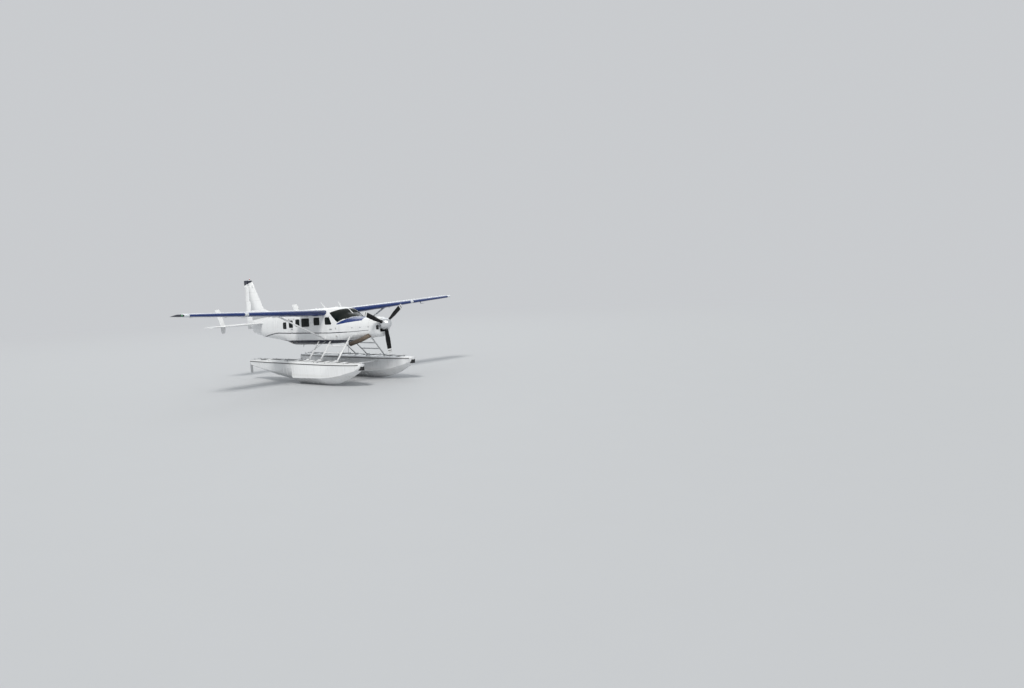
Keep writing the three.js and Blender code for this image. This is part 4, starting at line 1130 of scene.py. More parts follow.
class FLOATPLANE_OT_stage(bpy.types.Operator):
    """Sets up the pale floor, the soft light and the camera"""

    bl_idname = "floatplane.stage"
    bl_label = "Floor, light and camera"

    def execute(self, context):
        stage = settings("stage")
        link = context.scene.collection.objects.link
        bm = bmesh.new()
        bmesh.ops.create_circle(bm, cap_ends=True, segments=96, radius=FLOOR_RADIUS)
        mesh = bpy.data.meshes.new("floor")
        bm.to_mesh(mesh)
        bm.free()
        floor = bpy.data.objects.new("floor", mesh)
        link(floor)

        def fading_floor():
            surface = standing("BSDF_PRINCIPLED")
            finish(mix(noise(0.6, 5.0) * 0.08, stage.floor, (0.45, 0.45, 0.45)), 0.75)
            far = flow("ShaderNodeEmission", {"Color": stage.backdrop})
            away = flow("ShaderNodeVectorMath", {0: object_place()}, "Value", operation="LENGTH")
            fade = ramp(away, *FLOOR_FADE, interpolation_type="SMOOTHSTEP")
            mixed = flow("ShaderNodeMixShader", {0: fade, 1: Flow(surface.outputs[0]), 2: far})
            feed(standing("OUTPUT_MATERIAL").inputs["Surface"], mixed)
        mesh.materials.append(material("Pale floor", fading_floor))

        def soft_sky():
            back = standing("BACKGROUND")
            seen = flow("ShaderNodeLightPath", {}, "Is Camera Ray")
            feed(back.inputs["Color"], mix(seen, [c * stage.fill for c in SKY_TINT], stage.backdrop))
            back.inputs["Strength"].default_value = 1.0
        world = context.scene.world or bpy.data.worlds.new("Studio")
        context.scene.world = world
        world.use_nodes = True
        wired(world.node_tree, soft_sky)
        context.scene.view_settings.view_transform = "Standard"
        for name, place, strength, softness, shade in (
            ("key_light", vec(10, -17, 21), stage.key, 14.0, (1.0, 0.98, 0.94)),
            ("rim_light", vec(-16, 12, 12), stage.key * 0.22, 40.0, (0.92, 0.96, 1.0)),
        ):
            lamp = bpy.data.lights.new(name, "SUN")
            lamp.energy, lamp.angle, lamp.color = strength, radians(softness), shade
            lit = bpy.data.objects.new(name, lamp)
            lit.location = place
            lit.rotation_euler = (-place).to_track_quat("-Z", "Y").to_euler()
            link(lit)

        ahead = vec(cos(CAMERA_TURN) * cos(CAMERA_DIP), sin(CAMERA_TURN) * cos(CAMERA_DIP), -sin(CAMERA_DIP))
        right = vec(sin(CAMERA_TURN), -cos(CAMERA_TURN), 0)
        up = right.cross(ahead)
        c, s = cos(CAMERA_ROLL), sin(CAMERA_ROLL)
        view = bpy.data.cameras.new("camera")
        view.sensor_fit, view.sensor_width, view.clip_end = "HORIZONTAL", SENSOR, VIEW_DEPTH
        view.lens = CAMERA_FOCUS / PHOTO_WIDTH * SENSOR
        camera = bpy.data.objects.new("camera", view)
        turn = Matrix((right * c + up * s, up * c - right * s, -ahead)).transposed().to_4x4()
        camera.matrix_world = Matrix.Translation(vec(NOSE.x, 0, 0) + CAMERA_AT) @ turn
        link(camera)
        context.scene.camera = camera
        return {"FINISHED"}


# Painted skins

class FLOATPLANE_OT_fuselage(bpy.types.Operator):
    """Fairs and paints the cabin, tail cone, cowl and doors"""

    bl_idname = "floatplane.fuselage"
    bl_label = "Fuselage skins"

    def execute(self, context):
        paint = fuselage_paint()
        for node in ("cabin_shell", "tail_cone", "cowl_upper", "cowl_lower", "crew_door_left",
                "crew_door_right", "passenger_door_upper", "passenger_door_lower", "cargo_door_upper",
                "cargo_door_lower"):
            fair_copy(node, paint, cabin_liner() if "cabin" in node or "door" in node else None)
        fair_copy("windshield", tinted_glass_with_painted_shade())
        return {"FINISHED"}


class FLOATPLANE_OT_surfaces(bpy.types.Operator):
    """Paints the wings, tail and their moving surfaces"""

    bl_idname = "floatplane.surfaces"
    bl_label = "Wings and tail"

    def execute(self, context):
        for side in ("left", "right"):
            wing_copy("wing_" + side, wing_paint())
            for node in ("flap_", "aileron_"):
                smooth_copy(node + side, wing_paint(), 40)
        for node in ("fin", "rudder"):
            smooth_copy(node, tail_paint(), 40)
        for node in ("stabiliser", "elevator_left", "elevator_right"):
            smooth_copy(node, stabiliser_paint(), 40)
        for node in ("wing_strut_left", "wing_strut_right", "rear_strut_left", "rear_strut_right",
                     "step_frame_left", "step_frame_right", "spreader_front", "spreader_rear"):
            smooth_copy(node, plain_paint(), 45)
        return {"FINISHED"}


class FLOATPLANE_OT_floats(bpy.types.Operator):
    """Paints the floats, their rudders and their bumpers"""

    bl_idname = "floatplane.floats"
    bl_label = "Floats"

    def execute(self, context):
        for side in ("left", "right"):
            smooth_copy("float_" + side, float_paint(), 24)
            smooth_copy("water_rudder_" + side, bare_metal(), 30)
            smooth_copy("bow_bumper_" + side, rubber(), 50)
        return {"FINISHED"}


class FLOATPLANE_OT_power(bpy.types.Operator):
    """Finishes the propeller, the engine block and the exhaust"""

    bl_idname = "floatplane.power"
    bl_label = "Propeller, engine and exhaust"

    def execute(self, context):
        smooth_copy("propeller", propeller_finish(), 40)
        path = curved(EXHAUST, 8)
        bm = bmesh.new()
        outer = round_rings(path, [0.100 + 0.004 * max(0.0, k / len(path) - 0.9) * 10
            for k in range(len(path))], 32)
        inner = round_rings(path, [0.086] * len(path), 32)
        loft(bm, outer + inner[:len(path) // 3:-1])
        made = piece("exhaust_stack", bm, sooty_steel(), crease=45)
        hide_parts("exhaust")
        smooth_copy("engine", cast_metal(), 35)
        return {"FINISHED"}


class FLOATPLANE_OT_cabin(bpy.types.Operator):
    """Finishes the cabin floor and the instrument panel"""

    bl_idname = "floatplane.cabin"
    bl_label = "Cabin"

    def execute(self, context):
        smooth_copy("cabin_floor", carpet(), 30)
        smooth_copy("instrument_panel", dark_trim(), 30)
        return {"FINISHED"}


class FLOATPLANE_OT_windows(bpy.types.Operator):
    """Makes the window panes, their rubber frames and the windshield's frame and post"""

    bl_idname = "floatplane.windows"
    bl_label = "Windows"

    def execute(self, context):
        glass, width = settings("glass"), settings("glass").frame_width
        lip = moulding(width / 2, 0.004, 0.002, 0.006, 0.5)
        homes = {
            ("left", "airframe"): ["second", "third", "last"],
            ("right", "airframe"): ["second", "third", "fourth", "last"],
            ("left", "cargo_door_upper"): ["fourth", "door"],
            ("right", "passenger_door_upper"): ["door"],
            ("left", "crew_door_left"): ["crew"],
            ("right", "crew_door_right"): ["crew"],
        }
        for (hand, body), names in homes.items():
            side = 1 if hand == "left" else -1
            panes, frames = bmesh.new(), bmesh.new()
            for name in names:
                corners = CREW_WINDOW if name == "crew" else oblong(*WINDOWS[name])
                outline = rounded(corners, WINDOW_CORNER)
                side_patch(panes, outline, side, -glass.pane_depth, 0.004)
                side_ring(frames, outline, side, lip)
            tail = hand if body == "airframe" else body
            made = piece("panes_" + tail, panes, tinted_glass_with_painted_shade(), body)
            if body == "airframe":
                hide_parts("side_glass_" + hand)
            piece("window_frames_" + tail, frames, rubber(), body, crease=50)

        (front, sill), (low_rear, low), (rear, high) = WINDSHIELD[:3]
        crown = vec(-GLASS_CROWN, 0, crown_of(GLASS_CROWN))
        top_edge = [(GLASS_CROWN + (rear - GLASS_CROWN) * t * t, crown.z + (high - crown.z) * t * t)
            for t in spread(0, 1, 16)]
        edge = [crown] + [at_side(station, height, 1) for station, height in top_edge[1:]]
        edge += [at_side(p.x, p.y, 1) for p in divided([Vector(v) for v in ((rear, high), (low_rear, low),
            (front, sill))], 0.03)[1:]]
        corner = edge[-1].y
        edge += [vec(-front, corner * (1 - k / 14), crown_of(front, corner * (1 - k / 14)))
            for k in range(1, 15)]
        half = drape(eased(edge, 4))
        half[0].y = half[-1].y = 0.0
        ring = half + [vec(p.x, -p.y, p.z) for p in reversed(half[1:-1])]
        bm = bmesh.new()
        ridge(bm, ring, moulding(glass.rim_width / 2, 0.004, 0.003, 0.006, 0.6), closed=True)
        middle = [vec(-s, 0, crown_of(s)) for s in spread(front, GLASS_CROWN, 12)]
        ridge(bm, middle, moulding(glass.post_width / 2, 0.02, 0.006, 0.011, 0.5))
        piece("windshield_frame", bm, plain_paint(), crease=50)
        return {"FINISHED"}


# Fittings outside

CLEAR, RED, GREEN = (0.72, 0.76, 0.80), (0.45, 0.012, 0.010), (0.010, 0.30, 0.07)
# Blade antennas: foot, tip and size
BLADES = [((-4.66, 0, 0.925), (-4.96, 0, 1.24), 1.0), ((-3.43, 0, 0.9), (-3.61, 0, 1.205), 0.9),
          ((-4.55, 0.16, -0.79), (-4.66, 0.16, -0.97), 0.8),
          ((-6.45, -0.1, -0.785), (-6.55, -0.1, -0.93), 0.7)]


class FLOATPLANE_OT_antennas(bpy.types.Operator):
    """Makes the blade antennas, the receiver domes and the belly antennas"""

    bl_idname = "floatplane.antennas"
    bl_label = "Antennas"

    def execute(self, context):
        bm = bmesh.new()
        chord = settings("fitting").antenna_chord
        for foot, tip, share in BLADES:
            foot, tip = Vector(foot), Vector(tip)
            rings = [(k / 14, 1 - 0.04 * k) for k in range(14)] + [(0.99, 0.40), (1.0, 0.26)]
            loft(bm, [foil(foot.lerp(tip, t), AHEAD, PORT, chord * share * size, 0.024 * size)
                for t, size in rings])
            over = 1 if tip.z > foot.z else -1
            level = crown_of(-foot.x, foot.y, under=over < 0)
            block(bm, (foot.x, foot.y, level), (0.17 * share, 0.055, 0.014), round_off=0.005)
            for end in (-0.07, 0.07):
                button(bm, vec(foot.x + end * share, foot.y, level + over * 0.006), vec(0, 0, over), 0.006,
                    0.004, 8)
        for station, side, size in ((3.84, 0.0, (0.15, 0.11, 0.075)), (5.35, 0.0, (0.13, 0.10, 0.05)),
                                    (3.97, 0.22, (0.10, 0.08, 0.045))):
            ball(bm, (-station, side, crown_of(station, side) - 0.002), size, 20)
            hoop(bm, vec(-station, side, crown_of(station, side) + 0.001), UP, size[1] / 2 + 0.004, 0.003)
        ball(bm, (-5.75, 0.0, crown_of(5.75, under=True)), (0.20, 0.09, 0.07), 20)
        piece("antennas", bm, plain_paint(), crease=40)
        return {"FINISHED"}


class FLOATPLANE_OT_door_fittings(bpy.types.Operator):
    """Makes the flush handles, latches, drip rails and hinge covers of the doors"""

    bl_idname = "floatplane.door_fittings"
    bl_label = "Door fittings"

    def execute(self, context):
        # Each door: its side, the handle's station and height; its rivets' front, rear, foot and top
        doors = (("crew_door_left", 1, 3.36, -0.10, 3.02, 3.76, -0.57, -0.17),
                 ("crew_door_right", -1, 3.36, -0.10, 3.02, 3.76, -0.57, -0.17),
                 ("passenger_door_lower", -1, 6.41, -0.165, 6.13, 6.69, -0.60, -0.11),
                 ("passenger_door_upper", -1, 6.41, 0.005, 6.13, 6.69, -0.05, 0.03),
                 ("cargo_door_upper", 1, 6.20, 0.005, 5.71, 6.69, -0.05, 0.03),
                 ("cargo_door_lower", 1, 6.56, -0.165, 5.71, 6.69, -0.60, -0.11))
        for body, side, station, height, front, rear, low, high in doors:
            bm = bmesh.new()
            plate(bm, station - 0.085, station + 0.085, height - 0.030, height + 0.030, side, 0.003, 0.004)
            ends = [at_side(station + end, height, side, 0.017) for end in (-0.055, 0.060)]
            out = skin_normal(at_side(station, height, side))
            loft(bm, [foil(ends[0].lerp(ends[1], t), out, UP, 0.010, 0.022 - 0.006 * t, 10)
                for t in (0.0, 0.5, 1.0)])
            for end in (-0.045, 0.048):
                bar(bm, at_side(station + end, height, side), at_side(station + end, height, side, 0.017),
                    0.007)
            for end in (-0.072, 0.072):
                button(bm, at_side(station + end, height, side, 0.003), out, 0.005, 0.003, 8)
            piece("handle_" + body, bm, bare_metal(), body)
            bm = bmesh.new()
            for level in spread(low, high, 8):
                for edge in (front, rear):
                    stud(bm, edge, level, side, 0.0055, 0.0018)
            for place in spread(front, rear, 10):
                stud(bm, place, low, side, 0.0055, 0.0018)
            piece("rivets_" + body, bm, plain_paint(), body)
        bm = bmesh.new()
        for side, first, last in ((-1, 6.06, 6.76), (1, 5.64, 6.76)):
            path = [at_side(place, 0.535, side) for place in spread(first, last, 16)]
            ridge(bm, path, [(-0.007, -0.003), (-0.007, 0.010), (0.004, 0.013), (0.007, -0.003)])
        for side in (1, -1):
            for height in (-0.43, -0.06):
                top, foot = [at_side(2.962, height + d, side, 0.002) for d in (0.045, -0.045)]
                bar(bm, foot, top, 0.012)
        piece("drip_rails", bm, plain_paint(), crease=40)
        return {"FINISHED"}


# Cuffs of a wing strut: distance from the strut's end, chord and thickness
FOOT_CUFF = [(-0.04, 0.250, 0.130), (0.02, 0.225, 0.105), (0.12, 0.190, 0.080), (0.22, 0.171, 0.068)]
TOP_CUFF = [(-0.01, 0.260, 0.130), (0.07, 0.235, 0.105), (0.16, 0.195, 0.080), (0.26, 0.171, 0.068)]


class FLOATPLANE_OT_wing_fittings(bpy.types.Operator):
    """Makes the wings' lamps, tank caps, covers, hinge brackets, strut cuffs, pitot tube and static wicks"""

    bl_idname = "floatplane.wing_fittings"
    bl_label = "Wing fittings"

    def execute(self, context):
        wick = settings("fitting").wick_length
        for hand, side in HANDS:
            bm = bmesh.new()
            for near, far in (LAMP_BAY, LANDING_BAY):
                wing_patch(bm, side * (near + 0.012), side * (far - 0.012), -0.055, 0.050, 0.0035, 0.002,
                    (6, 16))
            piece("wing_lenses_" + hand, bm, lens("Clear lens", CLEAR))

            bm = bmesh.new()
            for near, far in (LAMP_BAY, LANDING_BAY):
                for place in (near, far):
                    ways = [(way * way * 0.09, way > 0) for way in spread(-0.85, 0.85, 18)]
                    line = [on_wing(side * place, *way, 0.001) for way in ways]
                    ups = [wing_normal(side * place, *way) for way in ways]
                    sweep(bm, line, ups, [(-0.010, -0.002), (-0.010, 0.004), (0.010, 0.004),
                        (0.010, -0.002)])
            for place in (1.15, 2.15, 3.75, 4.65, 5.6, 6.5, 7.3):
                spot, out = wing_spot(side * place, 0.36, False)
                button(bm, spot, out, 0.062, 0.0025, 28, 0.97)
                for x, y in circle(0.050, 6):
                    button(bm, spot + vec(x, y, 0) + out * 0.002, out, 0.0045, 0.0022, 6)
            for place in (1.30, 2.95, 4.60, 5.50, 7.20):
                rings = []
                for share, width, deep in ((0.41, 0.006, 0.004), (0.47, 0.030, 0.026), (0.57, 0.042, 0.046),
                                           (0.655, 0.036, 0.046)):
                    centre = on_wing(side * place, share, False)
                    rings.append(foil(centre, PORT, UP, width, deep * 2, 12))
                loft(bm, rings)
            spot, out = wing_spot(side * 1.75, 0.42)
            button(bm, spot, out, 0.082, 0.003, 32, 0.97)
            button(bm, spot + out * 0.003, out, 0.052, 0.010, 28, 0.9)
            block(bm, spot + out * 0.017, (0.075, 0.014, 0.008), round_off=0.003)
            for place in (0.95, 2.6, 4.2, 5.8):
                spot, out = wing_spot(side * place, 0.24)
                button(bm, spot, out, 0.018, 0.004, 14)
            foot, top = vec(-3.905, side * 0.79, -0.52), vec(-4.027, side * 3.3, 0.761)
            run = (top - foot).normalized()
            along = (AHEAD - run * run.x).normalized()
            across = run.cross(along)
            reach = (top - foot).length
            for end, way, cuff in ((0, 1, FOOT_CUFF), (reach, -1, TOP_CUFF)):
                loft(bm, [foil(foot + run * (end + way * far), along, across, chord, thick, 20)
                    for far, chord, thick in cuff])
            piece("wing_fittings_" + hand, bm, plain_paint(), crease=40)

            bm = bmesh.new()
            tip = on_wing(side * 7.930, 0.10) * 0.5 + on_wing(side * 7.930, 0.10, False) * 0.5
            ball(bm, tip, (0.15, 0.055, 0.060), 20)
            name, colour = ("Red lens", RED) if side > 0 else ("Green lens", GREEN)
            piece("tip_lamp_" + hand, bm, lens(name, colour))
            bm = bmesh.new()
            for place in (5.35, 5.95, 6.55, 7.15, 7.58):
                end = on_wing(side * place, 0.995)
                bar(bm, end + vec(0.02, 0, 0.004), end + vec(-0.015, 0, 0.002), 0.005, 0.004, 8)
                bar(bm, end + vec(-0.01, 0, 0.002), end + vec(-wick, 0, -0.006), 0.0028, 0.0016, 8)
            piece("wicks_aileron_" + hand, bm, rubber(), "aileron_" + hand)
        bm = bmesh.new()
        root = on_wing(5.62, 0.07, False)
        mast = [root + vec(0, 0, 0.02), root + vec(0.03, 0, -0.09)]
        loft(bm, [foil(mast[0].lerp(mast[1], t), AHEAD, PORT, 0.075 - 0.03 * t, 0.022, 12)
            for t in (0, 0.5, 1)])
        bar(bm, mast[1] + vec(-0.03, 0, 0.004), mast[1] + vec(0.20, 0, 0.004), 0.011, 0.009)
        bar(bm, mast[1] + vec(0.195, 0, 0.004), mast[1] + vec(0.235, 0, 0.004), 0.009, 0.005)
        piece("pitot_tube", bm, bare_metal())
        return {"FINISHED"}


def nose_at(side, height):
    """Where the cowl's skin lies at a place seen from the front."""
    low, high = 0.5, 1.2
    for _ in range(24):
        half = (low + high) / 2
        low, high = (low, half) if skin_level(vec(-half, side, height))[0] < 1 else (half, high)
    return vec(-high, side, height)


class FLOATPLANE_OT_cowl_fittings(bpy.types.Operator):
    """Makes the cowl's fasteners, louvres, inlet lips, latches, oil door and drains"""

    bl_idname = "floatplane.cowl_fittings"
    bl_label = "Cowl fittings"

    def execute(self, context):
        bm = bmesh.new()
        for side in (1, -1):
            for k in range(13):
                for height in (-0.055, -0.115):
                    stud(bm, 0.72 + k * 0.125, height, side, 0.008, 0.0022, 10)
        for k in range(34):
            turn = 2 * pi * (k + 0.5) / 34
            for station in (0.66, 2.255):
                point = vec(-station, 0.5 * cos(turn), -0.08 + 0.5 * sin(turn))
                spot = drape([point])[0]
                button(bm, spot, skin_normal(spot), 0.0075, 0.0022, 8)
        for side in (1, -1):
            for station in (0.95, 1.45, 1.95):
                plate(bm, station - 0.045, station + 0.045, -0.103, -0.067, side, 0.004, 0.005, 0.010)
        piece("cowl_fasteners", bm, bare_metal())

        bm = bmesh.new()
        for side in (1, -1):
            for k in range(6):
                station = 1.62 + k * 0.075
                foot, top = at_side(station, -0.46, side, 0.001), at_side(station + 0.02, -0.33, side, 0.001)
                out = skin_normal(at_side(station, -0.40, side))
                loft(bm, [foil(foot.lerp(top, t), AHEAD, out, 0.040 * size, 0.030 * size, 12)
                    for t, size in ((0, 0.15), (0.08, 0.8), (0.5, 1.0), (0.92, 0.8), (1, 0.15))])
        plate(bm, 1.02, 1.26, 0.05, 0.20, 1, 0.0015, 0.003, 0.02)
        plate(bm, 1.30, 1.44, 0.06, 0.18, -1, 0.0015, 0.003, 0.02)
        for station in (1.06, 1.22):
            bar(bm, at_side(station - 0.02, 0.20, 1, 0.003), at_side(station + 0.02, 0.20, 1, 0.003), 0.005,
                sides=8)
        scoop = [(1.78, 0.02, 0.03), (1.70, 0.09, 0.075), (1.60, 0.13, 0.105), (1.585, 0.12, 0.095)]
        loft(bm, [foil(vec(-station, 0.30, crown_of(station, 0.30)), PORT, UP, wide, tall, 18)
            for station, tall, wide in scoop])
        piece("cowl_louvres", bm, plain_paint(), crease=40)

        bm = bmesh.new()
        lip = circle(0.010, 8)
        for side in (1, -1):
            corners = [(side * y, z) for y, z in ((0.285, -0.22), (0.285, -0.05), (0.400, -0.05),
                (0.400, -0.22))]
            ring = [nose_at(p.x, p.y) for p in rounded(corners, 0.03, 4, 0.03)]
            sweep(bm, ring, [AHEAD] * len(ring), lip, closed=True)
        ring = [nose_at(p.x, p.y) for p in rounded([(-0.2, -0.335), (-0.2, -0.215), (0.2, -0.215),
            (0.2, -0.335)], 0.05, 5, 0.03)]
        sweep(bm, ring, [AHEAD] * len(ring), lip, closed=True)
        hoop(bm, vec(-0.497, 0, -0.0), AHEAD, 0.150, 0.012, 40)
        piece("inlet_lips", bm, rubber(), crease=60)

        bm = bmesh.new()
        end, before = Vector(EXHAUST[-1]), Vector(EXHAUST[-2])
        way = (end - before).normalized()
        hoop(bm, end, way, 0.100, 0.006, 36)
        hoop(bm, end - way * 0.17, way, 0.101, 0.004, 36)
        hoop(bm, before + way * 0.04, way, 0.101, 0.005, 36)
        hanger = end - way * 0.25
        bar(bm, hanger + vec(0, 0.06, 0.06), vec(hanger.x, -0.42, -0.70), 0.008)
        piece("exhaust_clamps", bm, sooty_steel())
        bm = bmesh.new()
        for side, station in ((0.10, 2.02), (0.16, 2.06), (-0.08, 2.10), (0.22, 1.70)):
            top = vec(-station, side, crown_of(station, side, under=True) + 0.02)
            tube(bm, curved([top, top + vec(-0.01, 0, -0.06), top + vec(-0.05, 0, -0.10)], 5), 0.006, 8)
        piece("drain_pipes", bm, bare_metal())
        return {"FINISHED"}


class FLOATPLANE_OT_propeller_fittings(bpy.types.Operator):
    """Makes the blade root cuffs, the spinner's seam and its screws"""

    bl_idname = "floatplane.propeller_fittings"
    bl_label = "Propeller fittings"

    def execute(self, context):
        hub = vec(-PROP_STATION, 0, 0)
        bm = bmesh.new()
        for k in range(3):
            turn = radians(PROP_PHASE + 120 * k)
            out = vec(0, sin(turn), cos(turn))
            side = out.cross(AHEAD)
            loft(bm, [foil(hub + out * far, AHEAD, side, size, size, 24) for far, size in ((0.215, 0.170),
                (0.262, 0.168), (0.268, 0.150), (0.292, 0.140), (0.300, 0.118))])
            hoop(bm, hub + out * 0.305, out, 0.057, 0.006)
        hoop(bm, vec(-0.452, 0, 0), AHEAD, 0.2635, 0.0035, 64)
        piece("blade_cuffs", bm, rubber(), "propeller", crease=40)
        bm = bmesh.new()
        shares = [sin(pi / 2 * k / 18) for k in range(1, 18)]
        curve = [(0.2665 * sqrt(1 - t * t) ** 1.15, -0.410 * (1 - t)) for t in shares]
        turned(bm, [(0, -0.4715), (0.2640, -0.4715), (0.2665, -0.468), *curve, (0, 0.0005)],
               Matrix.Rotation(pi / 2, 4, "Y"), 72)
        piece("spinner_shell", bm, propeller_finish(), "propeller", crease=40)
        bm = bmesh.new()
        for k in range(18):
            turn = 2 * pi * (k + 0.5) / 18
            out = vec(0, cos(turn), sin(turn))
            button(bm, vec(-0.435, 0, 0) + out * 0.2655, out, 0.007, 0.0025, 8)
        piece("spinner_screws", bm, bare_metal(), "propeller")
        return {"FINISHED"}


class FLOATPLANE_OT_tail_fittings(bpy.types.Operator):
    """Makes the beacon, tail lamp, whisker antennas, trim tabs, wicks and tie-down ring of the tail"""

    bl_idname = "floatplane.tail_fittings"
    bl_label = "Tail fittings"

    def execute(self, context):
        wick = settings("fitting").wick_length

        def tail_at(side):
            share = abs(side) / 3.12
            return 9.56 + 0.095 * share, 1.30 - 0.44 * share

        bm = bmesh.new()
        ball(bm, (-10.88, 0, 2.745), (0.075, 0.060, 0.095), 20)
        piece("beacon_lens", bm, lens("Red lens", RED))
        bm = bmesh.new()
        bar(bm, (-10.88, 0, 2.700), (-10.88, 0, 2.742), 0.040, 0.036)
        for side in (1, -1):
            root = vec(-10.62, side * 0.03, 2.36)
            tube(bm, curved([root, root + vec(-0.02, side * 0.10, 0.01),
                root + vec(-0.26, side * 0.34, 0.02)], 6), 0.006, 8)
            block(bm, (-10.62, side * 0.038, 2.36), (0.06, 0.020, 0.05), round_off=0.006)
            for place in (0.9, 2.0):
                station, chord = tail_at(place)
                spot = vec(-(station + 0.35 * chord), side * place, TAIL_LEVEL - 0.049 * chord)
                button(bm, spot, -UP, 0.05, 0.003, 24)
        hoop(bm, vec(-9.95, 0, crown_of(9.95, under=True) - 0.03), PORT, 0.032, 0.007)
        piece("tail_fittings", bm, plain_paint())
        for hand, side in HANDS:
            bm = bmesh.new()
            station, chord = tail_at(1.25)
            block(bm, (-(station + chord * 0.945), side * 1.25, TAIL_LEVEL), (chord * 0.10, 0.86, 0.0175),
                round_off=0.004)
            bar(bm, (-(station + chord * 0.80), side * 1.05, 0.375), (-(station + chord * 0.93), side * 1.05,
                0.380), 0.004, sides=8)
            piece("trim_tab_" + hand, bm, plain_paint(), "elevator_" + hand)
            bm = bmesh.new()
            for place in (0.55, 2.15, 2.55, 2.95):
                station, chord = tail_at(place)
                end = vec(-(station + chord * 0.995), side * place, TAIL_LEVEL)
                bar(bm, end, end + vec(-wick, 0, -0.004), 0.0032, 0.0016, 8)
            piece("wicks_elevator_" + hand, bm, rubber(), "elevator_" + hand)
        bm = bmesh.new()
        for height in (0.95, 1.55, 2.15, 2.6):
            end = vec(-11.400, 0, height)
            bar(bm, end, end + vec(-wick, 0, -0.01), 0.0032, 0.0016, 8)
        piece("wicks_rudder", bm, rubber(), "rudder")
        bm = bmesh.new()
        block(bm, (-11.372, 0, 0.62), (0.066, 0.014, 0.62), round_off=0.004)
        bar(bm, (-11.25, 0.026, 0.50), (-11.36, 0.010, 0.50), 0.004, sides=8)
        piece("rudder_tab", bm, plain_paint(), "rudder")
        bm = bmesh.new()
        ball(bm, (-11.405, 0, 1.05), (0.045, 0.034, 0.070), 16)
        piece("tail_lamp", bm, lens("Clear lens", CLEAR), "rudder")
        return {"FINISHED"}


def float_line(side, places, offset, height):
    """A line along a float: offset and height are measured from functions of the float's section."""
    return [vec(BOW - behind, side * FLOAT_SIDE + offset(float_row(behind)), height(float_row(behind)))
            for behind in places]


# A cleat's bar: distance from the middle, lift and thickness
CLEAT_BAR = [(-0.095, 0.010, 0.006), (-0.085, 0.008, 0.014), (-0.03, 0, 0.022), (0.03, 0, 0.022),
    (0.085, 0.008, 0.014), (0.095, 0.010, 0.006)]


def cleat(bm, spot):
    """A mooring cleat on a deck."""
    block(bm, spot + UP * 0.004, (0.11, 0.045, 0.010), round_off=0.004)
    for end in (-0.025, 0.025):
        bar(bm, spot + AHEAD * end, spot + AHEAD * end + UP * 0.040, 0.010, 0.008, 12)
    loft(bm, [foil(spot + AHEAD * far + UP * (0.043 + lift), PORT, UP, size, size * 0.8, 12)
        for far, lift, size in CLEAT_BAR])


class FLOATPLANE_OT_float_fittings(bpy.types.Operator):
    """Makes the floats' rub rails, spray rails, keel strips, walkways, hatches, cleats and pump caps"""

    bl_idname = "floatplane.float_fittings"
    bl_label = "Float fittings"

    def execute(self, context):
        tall = settings("fitting").rail_height / 2
        rail = [(-0.010, -tall), (-0.010, tall), (0, tall * 1.1), (0.010, tall), (0.010, -tall),
            (0, -tall * 1.1)]
        whole = spread(0.10, 8.44, 60)
        for hand, side in HANDS:
            bm = bmesh.new()
            for edge in (1, -1):
                path = float_line(side, whole, lambda row: edge * row[4], lambda row: row[2])
                sweep(bm, path, [UP] * len(path), rail)
            for behind, offset in ((0.95, 0.30), (2.25, 0.36), (3.05, 0.36), (5.3, 0.34), (6.7, 0.30)):
                spot = deck_at(behind, side, offset)
                button(bm, spot, UP, 0.020, 0.012, 14, 0.75)
            piece("rub_rails_" + hand, bm, rubber(), stand=False, crease=50)

            bm = bmesh.new()
            for first, last in ((0.36, 4.54), (4.62, 8.40)):
                places = spread(first, last, 30)
                path = float_line(side, places, lambda row: 0.0, lambda row: row[0])
                sweep(bm, path, [UP] * len(path), [(-0.030, 0.012), (-0.016, -0.002), (0.016, -0.002),
                    (0.030, 0.012)])
            for behind in (0.62, 7.85):
                cleat(bm, deck_at(behind, side, 0.0))
            for behind in (2.75, 5.1):
                for offset in (0.36, -0.36):
                    cleat(bm, deck_at(behind, side, offset))
            piece("keel_strips_" + hand, bm, bare_metal(), stand=False, crease=40)

            bm = bmesh.new()
            for edge in (1, -1):
                places = spread(1.0, 4.5, 30)
                path = float_line(side, places, lambda row: edge * (row[3] + 0.004),
                    lambda row: row[1] + 0.004)
                sweep(bm, path, [UP] * len(path), [(-0.014, 0.020), (-0.014, -0.022), (0.014, -0.022),
                    (0.014, 0.000)])
            for behind in (1.20, 2.42, 3.62, 4.62, 5.75, 6.95):
                spot = deck_at(behind, side, 0.0)
                button(bm, spot, UP, 0.125, 0.009, 36, 0.96)
                button(bm, spot + UP * 0.008, UP, 0.095, 0.006, 32, 0.92)
                block(bm, spot + UP * 0.018, (0.10, 0.018, 0.010), round_off=0.004)
                for x, y in circle(0.111, 10):
                    button(bm, spot + vec(x, y, 0.008), UP, 0.005, 0.003, 6)
            piece("hatches_" + hand, bm, plain_paint(), stand=False, crease=40)

            bm = bmesh.new()
            for first, last in ((0.80, 1.02), (1.38, 1.72), (2.12, 2.24), (2.60, 2.97), (3.33, 3.44),
                    (3.80, 3.86), (4.22, 4.44), (4.80, 5.57), (5.93, 6.77), (7.13, 7.55)):
                def laid(x, y):
                    behind = first + (last - first) * (x + 0.5)
                    return deck_at(behind, side, y * 2 * min(0.20, float_row(behind)[4] * 0.6), 0.004)
                sheet(bm, (max(2, round((last - first) / 0.1)), 8), 0.5, laid, 0.006)
            piece("walkways_" + hand, bm, walkway(), stand=False, crease=40)
        return {"FINISHED"}


